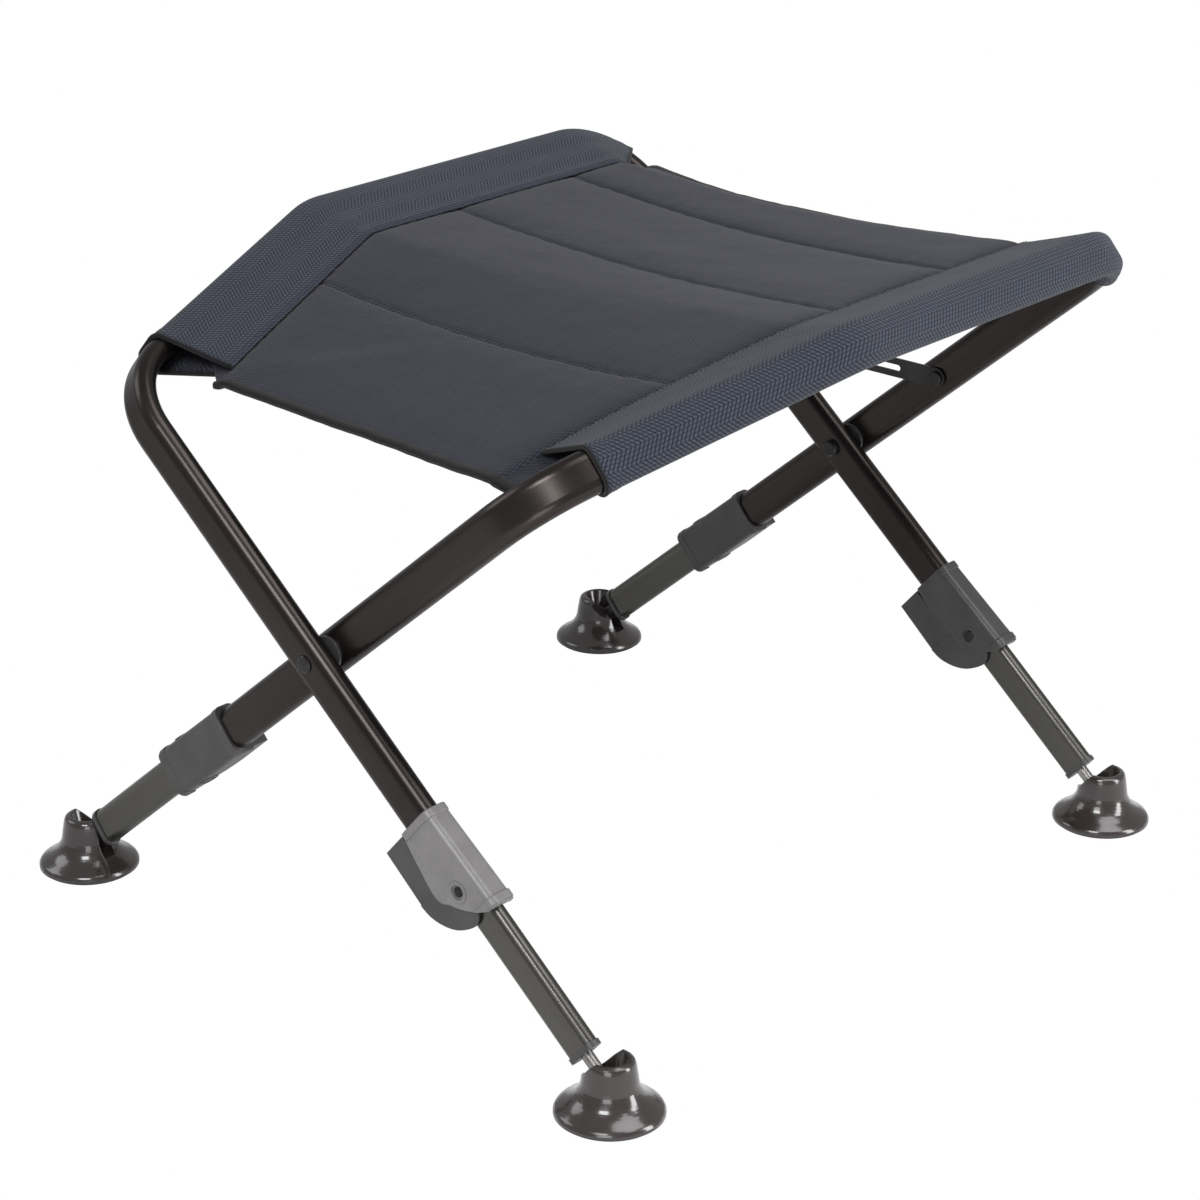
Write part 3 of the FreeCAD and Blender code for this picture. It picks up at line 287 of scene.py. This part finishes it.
def quilt_y(k, u):
    """y of quilting seam k at share u of the width."""
    y, d = QUILT[k]
    return y + d * (1 - 2 * u)


def panel_y(u, v):
    """y at share v of the length: the free edges curve in a little, as the cloth is pulled sideways."""
    pull = 4 * u * (1 - u)
    near, far = NEAR_Y + 0.006 * pull, FAR_Y - 0.007 * pull
    return near + (far - near) * v


def seam_lines(u):
    """y of the near edge, the quilting seams and the far edge at share u of the width."""
    return [panel_y(u, 0)] + [quilt_y(k, u) for k in range(len(QUILT))] + [panel_y(u, 1)]


def panel_top(u, y):
    """Top surface of the padded panel at share u of the width."""
    (xa, za), (xb, zb) = edge_at(-1, y), edge_at(1, y)
    x = xa + (xb - xa) * u
    pull = 4 * u * (1 - u)
    z = za + (zb - za) * u - 0.0008
    near = math.exp(-max(0.0, y - NEAR_Y) / 0.045)
    z -= (0.0080 - 0.0042 * near) * pull
    # padding between the lines of quilting
    lines = seam_lines(u)
    for a, b in zip(lines, lines[1:]):
        if a - 1e-9 <= y <= b + 1e-9:
            f = (y - a) / (b - a)
            edge = min(u, 1 - u) * (xb - xa)
            side_fade = 1 - math.exp(-edge / 0.007)
            puff = 1 - abs(2 * f - 1) ** 4
            inner = [q for q in (a, b) if q not in (lines[0], lines[-1])]
            d = min(abs(y - q) for q in inner)
            free = min(y - lines[0], lines[-1] - y)
            z += 0.0034 * puff * side_fade - 0.0008 * math.exp(-(d / 0.0022) ** 2)
            z -= 0.0010 * math.exp(-free / 0.006)
            ripple = math.exp(-d / 0.009) * side_fade
            z += 0.00024 * ripple * math.sin(x * 380 + 5 * fbm((x, a, 0), 22.0, 7.0))
            sew = math.exp(-edge / 0.008)
            z += 0.00028 * sew * math.sin(y * 520 + 4 * fbm((0, y, 2.0 * (u > 0.5)), 26.0, 9.0))
            z -= 0.0017 * math.exp(-edge / 0.0016)
    z += 0.0012 * fbm((x * 0.8, y, 0), 9.0, 3.0) * min(1.0, pull * 2)
    z += 0.00035 * fbm((x, y, 0), 55.0, 5.0) * min(1.0, pull * 3)
    # slack folds that run from the lower corners towards the middle
    for cx, cy, ang, s in ((-0.10, -0.21, 0.75, 1), (0.10, -0.21, 2.35, -1)):
        dx, dy = x - cx, y - cy
        along = dx * math.cos(ang) + dy * math.sin(ang)
        across = -dx * math.sin(ang) + dy * math.cos(ang)
        z += 0.0009 * math.exp(-(across / 0.010) ** 2) * math.exp(-((along - 0.04) / 0.05) ** 2) * s
    return Vector((x, y, z))


def panel_thickness(u, y):
    """Thin at the seams and edges, thick between them."""
    lines = seam_lines(u)
    (xa, _), (xb, _) = edge_at(-1, y), edge_at(1, y)
    edge = min(u, 1 - u) * (xb - xa)
    t = 0.0
    for a, b in zip(lines, lines[1:]):
        if a - 1e-9 <= y <= b + 1e-9:
            f = (y - a) / (b - a)
            t = max(t, (1 - abs(2 * f - 1) ** 5) * (1 - math.exp(-edge / 0.007)))
    return 0.0016 + 0.0050 * t


def share_lines(breaks, step):
    """Shares from the first break to the last, with one on each break."""
    out = []
    for a, b in zip(breaks, breaks[1:]):
        n = max(2, int(round((b - a) / step)))
        for i in range(n):
            f = i / n
            f = f - 0.06 * math.sin(2 * math.pi * f)        # finer next to the seams
            out.append(a + (b - a) * f)
    out.append(breaks[-1])
    return out


def near_room(y):
    """Share of the hidden strip that is left at the near corner on frame a's side, where the tube curves
    away."""
    return 0.12 + 0.88 * min(1.0, max(0.0, (y - NEAR_Y) / 0.030))


def build_panel():
    """The padded panel.  Beyond 0 and 1, u goes on in metres into the hidden strips inside the sleeves."""
    us = share_lines([0, 1], step_of(0.0085))
    us = [-q for q in UNDER[::-1]] + us + [1 + q for q in UNDER]
    base = [0] + [(y - NEAR_Y) / (FAR_Y - NEAR_Y) for y, _ in QUILT] + [1]
    vs = share_lines(base, step_of(0.0065))
    nu, nv = len(us), len(vs)
    top, bottom, uv = [], [], []
    for v in vs:
        for u in us:
            # rows follow the quilting lines
            uc = min(max(u, 0.0), 1.0)
            y = float(np.interp(v, base, seam_lines(uc)))
            p = panel_top(uc, y)
            # at the far corners the tube curves away, so the hidden strip is shorter there
            room = 1.0 - 0.75 * min(1.0, max(0.0, (y - 0.19) / 0.03))
            if u < 0:
                room *= near_room(y)
            past = (u - uc) * room
            p = p + Vector((past, 0, -UNDER_STEP - UNDER_SLOPE * abs(past) if past else 0.0))
            top.append(p)
            bottom.append(p - Vector((0, 0, panel_thickness(uc, y) + (0.0012 if past else 0))))
            uv.append((p.x, p.y))
    n = nu * nv
    faces = []
    for j in range(nv - 1):
        for i in range(nu - 1):
            a, b, c, d = j * nu + i, j * nu + i + 1, (j + 1) * nu + i + 1, (j + 1) * nu + i
            faces.append((a, b, c, d))
            faces.append((n + a, n + d, n + c, n + b))
    ring = (list(range(nu)) + [j * nu + nu - 1 for j in range(1, nv)]
            + [(nv - 1) * nu + i for i in range(nu - 2, -1, -1)] + [j * nu for j in range(nv - 2, 0, -1)])
    for k, a in enumerate(ring):
        b = ring[(k + 1) % len(ring)]
        faces.append((a, n + a, n + b, b))
    ob = mesh_object("seat_panel_cloth", top + bottom, faces, uv + uv)
    share = [min(max(u, 0.0), 1.0) for v in vs for u in us] * 2
    return ob, share


def tube_along(name, pts, ups, rx, rz, sides, share=None):
    """A rounded strip along points; ups are unit vectors, rx across and rz along up."""
    boxy = 0.62                         # below 1 the section is squarer than an ellipse
    verts, uvs, faces, shares = [], [], [], []
    length = 0.0
    n = len(pts)
    for j, p in enumerate(pts):
        t = (pts[min(j + 1, n - 1)] - pts[max(j - 1, 0)]).normalized()
        up = (ups[j] - t * ups[j].dot(t)).normalized()
        side = t.cross(up)
        if j:
            length += (p - pts[j - 1]).length
        for i in range(sides):
            a = 2 * math.pi * i / sides
            ca, sa = math.cos(a), math.sin(a)
            ca, sa = math.copysign(abs(ca) ** boxy, ca), math.copysign(abs(sa) ** boxy, sa)
            verts.append(p + side * (rx * ca) + up * (rz * sa))
            uvs.append((length, a * (rx + rz) / 2))
            if share:
                shares.append(share[j])
    for j in range(n - 1):
        for i in range(sides):
            a, b = j * sides + i, j * sides + (i + 1) % sides
            faces.append((a, b, b + sides, a + sides))
    faces.append(tuple(range(sides - 1, -1, -1)))
    faces.append(tuple(range((n - 1) * sides, n * sides)))
    ob = mesh_object(name, verts, faces, uvs)
    return ob, shares


def build_binding(near, name):
    v = 0.0 if near else 1.0
    pts, ups, share = [], [], []
    n, reach = 90, UNDER[-1]
    out = Vector((0, -1 if near else 1, 0))
    for i in range(n + 1):
        u = -reach + (1 + 2 * reach) * i / n
        if not near and (u < -0.010 or u > 1.010):
            continue
        uc = min(max(u, 0), 1)
        y = panel_y(uc, v)
        p = panel_top(uc, y) - Vector((0, 0, 0.0012))
        rise = 0.0003 * fbm((u * 2.0, v, 0), 6.0, 8.0)
        past = (u - uc) * (near_room(y) if u < 0 else 1.0)
        p.x += past
        p.z -= UNDER_STEP + UNDER_SLOPE * abs(past) if past else 0.0
        pts.append(p + out * -0.0008 + Vector((0, 0, rise)))
        ups.append(Vector((0, 0, 1)))
        share.append(uc)
    return tube_along(name, pts, ups, 0.0048, 0.0027, 16, share)


# ------------------------------------------------------------------ stitches
STITCH, STITCH_GAP, THREAD_R = 0.0022, 0.0010, 0.00024
STITCH_SIDES = 6
STITCH_SHAPE = [(0.0, 0.15, -0.5), (0.18, 0.85, 0.3), (0.5, 1.0, 0.9), (0.82, 0.85, 0.3), (1.0, 0.15, -0.5)]


def stitch_row(name, pts, ups, share=None):
    """Short raised threads along a line of points.  STITCH_SHAPE gives each ring's place along the stitch, and
    its radius and height as shares of the thread's radius."""
    verts, faces, uvs, shares = [], [], [], []
    at, sides, r = 0.0, STITCH_SIDES, THREAD_R
    lens = [0.0]
    for a, b in zip(pts, pts[1:]):
        lens.append(lens[-1] + (b - a).length)

    def where(s):
        i = max(0, min(len(lens) - 2, int(np.searchsorted(lens, s)) - 1))
        f = (s - lens[i]) / max(1e-9, lens[i + 1] - lens[i])
        sh = share[i] + (share[i + 1] - share[i]) * f if share else 0
        return pts[i].lerp(pts[i + 1], f), ups[i].lerp(ups[i + 1], f).normalized(), sh

    while at + STITCH < lens[-1]:
        base = len(verts)
        for f, rr, lift in STITCH_SHAPE:
            p, up, sh = where(at + f * STITCH)
            q, _, _ = where(min(at + f * STITCH + 0.0004, lens[-1]))
            t = q - p
            t = t.normalized() if t.length > 1e-9 else Vector((1, 0, 0))
            sd = t.cross(up).normalized()
            c = p + up * (r * lift)
            for i in range(sides):
                a = 2 * math.pi * i / sides
                verts.append(c + sd * (r * rr * math.cos(a)) + up * (r * rr * math.sin(a)))
                uvs.append((f, i / sides))
                shares.append(sh)
        rings = len(STITCH_SHAPE)
        for j in range(rings - 1):
            for i in range(sides):
                a, b = base + j * sides + i, base + j * sides + (i + 1) % sides
                faces.append((a, b, b + sides, a + sides))
        faces.append(tuple(base + i for i in range(sides - 1, -1, -1)))
        faces.append(tuple(base + (rings - 1) * sides + i for i in range(sides)))
        at += STITCH + STITCH_GAP
    return mesh_object(name, verts, faces, uvs), shares


def blend_by_share(ob, shares):
    """Bake the object's transform into its mesh and work out each point's share of the seat's width at its own
    y, clipped to 0..1; nothing uses these weights, so nothing bends between the frames."""
    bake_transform(ob)
    w = np.array(shares, float)
    w = np.clip(w, 0, 1)


# ------------------------------------------------------------------ materials
def srgb(r, g, b):
    def f(c):
        c /= 255
        return c / 12.92 if c <= 0.04045 else ((c + 0.055) / 1.055) ** 2.4
    return f(r), f(g), f(b), 1.0


class Nodes:
    """A short way to write a node tree."""

    def __init__(self, name):
        self.mat = bpy.data.materials.new(name)
        self.mat.use_nodes = True
        self.t = self.mat.node_tree
        self.t.nodes.clear()
        self.out = self.t.nodes.new("ShaderNodeOutputMaterial")
        self.b = self.t.nodes.new("ShaderNodeBsdfPrincipled")
        self.t.links.new(self.b.outputs[0], self.out.inputs[0])

    def put(self, socket, value):
        if isinstance(value, bpy.types.NodeSocket):
            self.t.links.new(value, socket)
        else:
            socket.default_value = value

    def math(self, op, a, b=None, c=None, clamp=False):
        n = self.t.nodes.new("ShaderNodeMath")
        n.operation, n.use_clamp = op, clamp
        for s, x in zip(n.inputs, (a, b, c)):
            if x is not None:
                self.put(s, x)
        return n.outputs[0]

    def noise(self, vector, scale, detail=3.0, rough=0.5, distortion=0.0):
        n = self.t.nodes.new("ShaderNodeTexNoise")
        self.put(n.inputs["Vector"], vector)
        n.inputs["Scale"].default_value = scale
        n.inputs["Detail"].default_value = detail
        n.inputs["Roughness"].default_value = rough
        n.inputs["Distortion"].default_value = distortion
        return n.outputs[0]

    def ramp(self, fac, stops):
        n = self.t.nodes.new("ShaderNodeValToRGB")
        e = n.color_ramp.elements
        while len(e) < len(stops):
            e.new(0.5)
        for el, (pos, col) in zip(e, stops):
            el.position = pos
            el.color = col if len(col) == 4 else (*col, 1)
        self.put(n.inputs[0], fac)
        return n.outputs[0]

    def mix(self, fac, a, b):
        n = self.t.nodes.new("ShaderNodeMix")
        n.data_type = "RGBA"
        self.put(n.inputs[0], fac)
        self.put(n.inputs[6], a)
        self.put(n.inputs[7], b)
        return n.outputs[2]

    def scaled(self, vector, s):
        n = self.t.nodes.new("ShaderNodeVectorMath")
        n.operation = "MULTIPLY"
        self.put(n.inputs[0], vector)
        n.inputs[1].default_value = s
        return n.outputs[0]

    def xyz(self, vector):
        n = self.t.nodes.new("ShaderNodeSeparateXYZ")
        self.put(n.inputs[0], vector)
        return n.outputs

    def coords(self, kind="Object"):
        return self.t.nodes.new("ShaderNodeTexCoord").outputs[kind]

    def bump(self, height, strength, distance, normal=None):
        n = self.t.nodes.new("ShaderNodeBump")
        n.inputs["Strength"].default_value = strength
        n.inputs["Distance"].default_value = distance
        self.put(n.inputs["Height"], height)
        if normal is not None:
            self.put(n.inputs["Normal"], normal)
        return n.outputs[0]

    def bevel(self, radius):
        n = self.t.nodes.new("ShaderNodeBevel")
        n.samples = 4
        n.inputs["Radius"].default_value = radius
        return n.outputs[0]

    def edge(self, radius):
        """0 on flat faces and up to 1 along edges, for wear."""
        geo = self.t.nodes.new("ShaderNodeNewGeometry")
        d = self.t.nodes.new("ShaderNodeVectorMath")
        d.operation = "DOT_PRODUCT"
        self.put(d.inputs[0], self.bevel(radius))
        self.put(d.inputs[1], geo.outputs["Normal"])
        return self.math("MULTIPLY", self.math("SUBTRACT", 1.0, d.outputs["Value"]), 5.0, clamp=True)

    def set(self, **kw):
        for k, v in kw.items():
            self.put(self.b.inputs[k.replace("_", " ")], v)


def cloth(name, dark, light, pitch, chevron=False):
    """Woven cloth with threads pitch apart: a plain weave, or slanting ribs that turn back."""
    m = Nodes(name)
    uv = m.xyz(m.coords("UV"))
    obj = m.coords("Object")
    u, v = uv[0], uv[1]
    wob = m.math("MULTIPLY", m.math("SUBTRACT", m.noise(obj, 60.0, 2.0), 0.5), pitch * 0.5)
    u = m.math("ADD", u, wob)
    tau = 2 * math.pi
    if chevron:
        # the ribs turn back every centimetre, with open dots between them
        zig = m.math("PINGPONG", v, 0.0105)
        slant = m.math("MULTIPLY", m.math("ADD", u, m.math("MULTIPLY", zig, 0.9)), tau / pitch)
        rib = m.math("MULTIPLY_ADD", m.math("SINE", slant), 0.5, 0.5)
        dots = m.math("MULTIPLY_ADD", m.math("SINE", m.math("MULTIPLY", v, tau / (pitch * 0.8))), 0.5, 0.5)
        h = m.math("MULTIPLY", m.math("POWER", rib, 0.8), m.math("MULTIPLY_ADD", dots, 0.65, 0.35))
    else:
        cu = m.math("SINE", m.math("MULTIPLY", u, tau / pitch))
        cv = m.math("SINE", m.math("MULTIPLY", v, tau / (pitch * 0.75)))
        warp = m.math("MULTIPLY_ADD", cu, 0.5, 0.5)
        weft = m.math("MULTIPLY_ADD", cv, 0.5, 0.5)
        half_u = m.math("SINE", m.math("MULTIPLY", u, tau / pitch / 2))
        half_v = m.math("SINE", m.math("MULTIPLY", v, tau / pitch / 1.5))
        over = m.math("GREATER_THAN", m.math("MULTIPLY", half_u, half_v), 0.0)
        h = m.math("ADD", m.math("MULTIPLY", warp, over),
                   m.math("MULTIPLY", weft, m.math("SUBTRACT", 1.0, over)))
    fibre = m.noise(obj, 1400.0, 3.0, 0.6)
    patch = m.noise(obj, 9.0, 3.0, 0.55)
    tone = m.math("ADD", m.math("MULTIPLY", h, 0.78), m.math("MULTIPLY", fibre, 0.30))
    col = m.ramp(tone, [(0.10, dark), (0.85, light)])
    col = m.mix(m.math("MULTIPLY", patch, 0.35), col, m.mix(0.5, col, dark))
    height = m.math("ADD", h, m.math("MULTIPLY", fibre, 0.35))
    m.set(Base_Color=col, Roughness=0.86, Specular_IOR_Level=0.22, Sheen_Weight=0.10, Sheen_Roughness=0.5,
          Normal=m.bump(height, 0.55, pitch * 0.22))
    return m.mat


def metal(name, dark, light, rough, turn=0.0, grain=0.03, metallic=0.85, dent=0.05):
    """Anodised or brushed metal; turn is the tilt of the tube, so that the faint draw marks run along it."""
    m = Nodes(name)
    obj = m.coords("Object")
    lie = m.t.nodes.new("ShaderNodeMapping")
    lie.vector_type = "POINT"
    m.put(lie.inputs["Vector"], obj)
    lie.inputs["Rotation"].default_value = (0, turn, 0)
    drawn = m.scaled(lie.outputs[0], (1, 1, 0.03))
    lines = m.noise(drawn, 420.0, 3.0, 0.5)
    streak = m.noise(m.scaled(lie.outputs[0], (1, 1, 0.2)), 24.0, 3.0, 0.5)
    col = m.ramp(streak, [(0.3, dark), (0.75, light)])
    scuff = m.ramp(m.noise(obj, 90.0, 4.0, 0.6, 0.4), [(0.66, (0, 0, 0)), (0.8, (1, 1, 1))])
    r = m.math("MULTIPLY_ADD", lines, grain * 2, rough - grain)
    r = m.math("MULTIPLY_ADD", scuff, grain * 2, r)
    m.set(Base_Color=col, Metallic=metallic, Roughness=r,
          Normal=m.bump(m.noise(lie.outputs[0], 55.0, 1.0, 0.4), dent, 0.0002))
    return m.mat


def plastic(name, dark, light, rough, bevel=0.0007, grain=0.12, coat=0.0):
    """Moulded plastic with softened and slightly worn edges."""
    m = Nodes(name)
    obj = m.coords("Object")
    fine = m.noise(obj, 1600.0, 3.0, 0.55)
    blot = m.noise(obj, 45.0, 3.0, 0.55)
    col = m.ramp(blot, [(0.3, dark), (0.75, light)])
    edge = m.math("MULTIPLY", m.edge(bevel * 1.4), m.noise(obj, 260.0, 4.0, 0.6))
    col = m.mix(m.math("MULTIPLY", edge, 0.6, clamp=True), col, (0.12, 0.12, 0.12, 1))
    m.set(Base_Color=col, Roughness=m.math("MULTIPLY_ADD", fine, 0.14, rough - 0.07),
          Coat_Weight=coat, Coat_Roughness=0.1,
          Normal=m.bump(fine, grain, 0.0003, m.bevel(bevel)))
    return m.mat


TUBE = srgb(44, 40, 39), srgb(60, 55, 53), 0.27
INNER = srgb(78, 77, 74), srgb(94, 93, 90), 0.24
M = {
    "tube_a": metal("tube_a", *TUBE, turn=TILT, grain=0.012, dent=0.02),
    "tube_b": metal("tube_b", *TUBE, turn=-TILT, grain=0.012, dent=0.02),
    "inner_tube_a": metal("inner_tube_a", *INNER, turn=TILT, metallic=0.92, grain=0.006, dent=0.008),
    "inner_tube_b": metal("inner_tube_b", *INNER, turn=-TILT, metallic=0.92, grain=0.006, dent=0.008),
    "steel": metal("steel", srgb(42, 41, 41), srgb(66, 65, 64), 0.30, metallic=0.9),
    "bright_steel": metal("bright_steel", srgb(120, 118, 116), srgb(160, 158, 155), 0.24, metallic=0.95),
    "clamp_plastic": plastic("clamp_plastic", srgb(52, 50, 51), srgb(64, 62, 63), 0.34),
    # a lit copy of clamp_plastic: the same plastic, painted lighter to stand in for the extra light on the near
    # housing
    "clamp_plastic_painted_lit": plastic("clamp_plastic_painted_lit", srgb(106, 104, 105), srgb(120, 118, 119), 0.34),
    "lever_plastic": plastic("lever_plastic", srgb(50, 49, 50), srgb(64, 63, 64), 0.34),
    "foot_plastic": plastic("foot_plastic", srgb(38, 33, 32), srgb(50, 44, 43), 0.20, coat=0.6, grain=0.02),
    "sole_rubber": plastic("sole_rubber", srgb(22, 22, 22), srgb(34, 34, 34), 0.7, grain=0.3),
    "pad_plastic": plastic("pad_plastic", srgb(60, 60, 60), srgb(75, 75, 75), 0.55),
    "seat_cloth": cloth("seat_cloth", srgb(18, 19, 25), srgb(53, 55, 66), 0.0019),
    "sleeve_cloth": cloth("sleeve_cloth", srgb(14, 16, 21), srgb(66, 71, 86), 0.0032, True),
    "binding_cloth": cloth("binding_cloth", srgb(10, 10, 12), srgb(26, 26, 29), 0.0014),
    "thread": cloth("thread", srgb(28, 30, 35), srgb(50, 54, 61), 0.0009),
}

slot_of = {row["node"]: row["material_slot"] for row in frame["record"]["subparts"]}
for name, ob in nodes.items():
    key = slot_of[name]
    if key in ("tube", "inner_tube"):
        key += "_a" if "_a" in name[-7:] else "_b"
    if name.startswith("ball_stem"):
        key = "bright_steel"
    if name == "clamp_housing_a_near":
        key = "clamp_plastic_painted_lit"                 # the same plastic as the other three, painted lighter to stand in for the light that falls on this housing
    ob.data.materials.clear()
    ob.data.materials.append(M[key])


def finish_piece(ob, mat):
    """Give a modelled piece its look."""
    ob.data.materials.clear()
    ob.data.materials.append(M[mat])


# ------------------------------------------------------------------ put the seat together
panel, share = build_panel()
finish_piece(panel, "seat_cloth")
blend_by_share(panel, share)
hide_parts("seat_panel", "seat_sling")

for near, name, node_name in ((True, "edge_binding_near", "seat_binding_near"),
                              (False, "edge_binding_far", "seat_binding_far")):
    ob, sh = build_binding(near, name)
    finish_piece(ob, "binding_cloth")
    blend_by_share(ob, sh)
    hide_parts(node_name)

FROM_SEAM = 0.0035                      # distance of the sleeves' top stitching from the seam
for side, body in ((-1, "frame_a"), (1, "frame_b")):
    tag = body[-1]
    ob, path = build_sleeve(side, "sleeve_cloth_" + tag)
    apply_modifiers(ob)
    finish_piece(ob, "sleeve_cloth")
    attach(ob, body)
    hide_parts("seat_sleeve_" + tag)
    for end, p in (("near", path[0]), ("far", path[-1])):
        # a dark cord at each mouth: partly real edging, partly painted shade where the mouth's shadow line
        # falls
        hem = build_hem_and_mouth_shade(side, p, "sleeve_hem_%s_%s" % (tag, end))
        finish_piece(hem, "binding_cloth")
        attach(hem, body)
    # top stitching next to the seam
    pts, ups = [], []
    for p in path[1:-1]:
        loop = sleeve_loop(TUBE_T + 0.0016, droop(side, p[0] + side * SHIFT))
        g = [q[3] for q in loop]
        n = float(np.interp(FROM_SEAM, g, [q[0] for q in loop]))
        v = float(np.interp(FROM_SEAM, g, [q[1] for q in loop]))
        t = at_rail(side, p, *loop[3][:2]) - at_rail(side, p, *loop[0][:2])
        up = t.normalized().cross(Vector((0, 1, 0))).normalized()
        if up.z < 0:
            up.negate()
        pts.append(at_rail(side, p, n, v) + up * 0.0003)
        ups.append(up)
    st, _ = stitch_row("sleeve_stitch_%s0" % tag, pts, ups)
    finish_piece(st, "thread")
    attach(st, body)

for k in range(len(QUILT)):
    pts, ups, sh = [], [], []
    for i in range(171):
        u = 0.012 + 0.976 * i / 170                 # the seam stops just short of the sleeves
        y = quilt_y(k, u)
        pts.append(panel_top(u, y) + Vector((0, 0, 0.0002)))
        ups.append(Vector((0, 0, 1)))
        sh.append(u)
    st, shares = stitch_row("quilt_stitch_%d" % k, pts, ups, share=sh)
    finish_piece(st, "thread")
    blend_by_share(st, shares)

# ------------------------------------------------------------------ floor, light and camera
def white_to_camera(tree, lit, white, out):
    """The camera sees plain white; every other ray meets the surface or sky given as lit."""
    pick = tree.nodes.new("ShaderNodeMixShader")
    rays = tree.nodes.new("ShaderNodeLightPath")
    tree.links.new(rays.outputs["Is Camera Ray"], pick.inputs[0])
    tree.links.new(lit.outputs[0], pick.inputs[1])
    tree.links.new(white.outputs[0], pick.inputs[2])
    tree.links.new(pick.outputs[0], out.inputs[0])


def shader(tree, kind, colour, strength=None):
    n = tree.nodes.new(kind)
    n.inputs[0].default_value = colour
    if strength is not None:
        n.inputs[1].default_value = strength
    return n


FLOOR_HALF, FLOOR_Z = 30, -0.0002
WHITE, FLOOR_GREY, SKY = (1, 1, 1, 1), (0.75, 0.75, 0.75, 1), 0.42
floor_mesh = bpy.data.meshes.new("floor")
corners = [(x * FLOOR_HALF, y * FLOOR_HALF, FLOOR_Z) for x, y in ((-1, -1), (1, -1), (1, 1), (-1, 1))]
floor_mesh.from_pydata(corners, [], [(0, 1, 2, 3)])
floor = bpy.data.objects.new("floor", floor_mesh)
bpy.context.scene.collection.objects.link(floor)
paint = bpy.data.materials.new("floor_paint")
paint.use_nodes = True
paint.node_tree.nodes.clear()
white_to_camera(paint.node_tree, shader(paint.node_tree, "ShaderNodeBsdfDiffuse", FLOOR_GREY),
                shader(paint.node_tree, "ShaderNodeEmission", WHITE, 1.0),
                paint.node_tree.nodes.new("ShaderNodeOutputMaterial"))
floor.data.materials.append(paint)

world = bpy.data.worlds.new("studio")
bpy.context.scene.world = world
world.use_nodes = True
world.node_tree.nodes.clear()
white_to_camera(world.node_tree, shader(world.node_tree, "ShaderNodeBackground", WHITE, SKY),
                shader(world.node_tree, "ShaderNodeBackground", WHITE, 1.0),
                world.node_tree.nodes.new("ShaderNodeOutputWorld"))


def area(name, where, target, size_x, power, size_y):
    """A lamp box aimed at target; sizes in metres, power in watts."""
    light = bpy.data.lights.new(name, "AREA")
    light.energy = power
    light.shape, light.size, light.size_y = "RECTANGLE", size_x, size_y
    ob = bpy.data.objects.new(name, light)
    ob.location = where
    ob.rotation_mode = "QUATERNION"
    ob.rotation_quaternion = (Vector(target) - Vector(where)).to_track_quat("-Z", "Y")
    bpy.context.scene.collection.objects.link(ob)


middle = (0, 0, 0.22)
area("top_box", (0.9, 0.3, 2.3), middle, 1.3, 21, 1.3)
area("front_top", (0.75, -1.75, 1.9), middle, 0.9, 26, 0.7)
area("right_strip", (1.7, 0.7, 0.8), middle, 0.5, 26, 1.6)
area("left_box", (-1.7, -1.0, 1.3), middle, 1.0, 8, 1.0)
area("low_front", (0.75, -1.15, 0.28), (0.15, -0.28, 0.10), 0.5, 3.0, 0.5)

CAMERA_AT = (1.344686, -1.591014, 1.019764)
AZ, EL, ROLL = math.radians(40.31), math.radians(21.93), 0.0084
fwd = Vector((-math.sin(AZ) * math.cos(EL), math.cos(AZ) * math.cos(EL), -math.sin(EL)))
level = Vector((math.cos(AZ), math.sin(AZ), 0))
upright = level.cross(fwd)
right = level * math.cos(ROLL) + upright * math.sin(ROLL)
up = upright * math.cos(ROLL) - level * math.sin(ROLL)
cam_data = bpy.data.cameras.new("camera")
cam_data.sensor_width = 36.0
cam_data.lens = 99.67
cam_data.clip_start, cam_data.clip_end = 0.05, 100
cam = bpy.data.objects.new("camera", cam_data)
cam.matrix_world = Matrix([(right[k], up[k], -fwd[k], CAMERA_AT[k]) for k in range(3)] + [(0, 0, 0, 1)])
bpy.context.scene.collection.objects.link(cam)
bpy.context.scene.camera = cam
bpy.context.scene.view_settings.view_transform = "Standard"

bpy.context.view_layer.update()
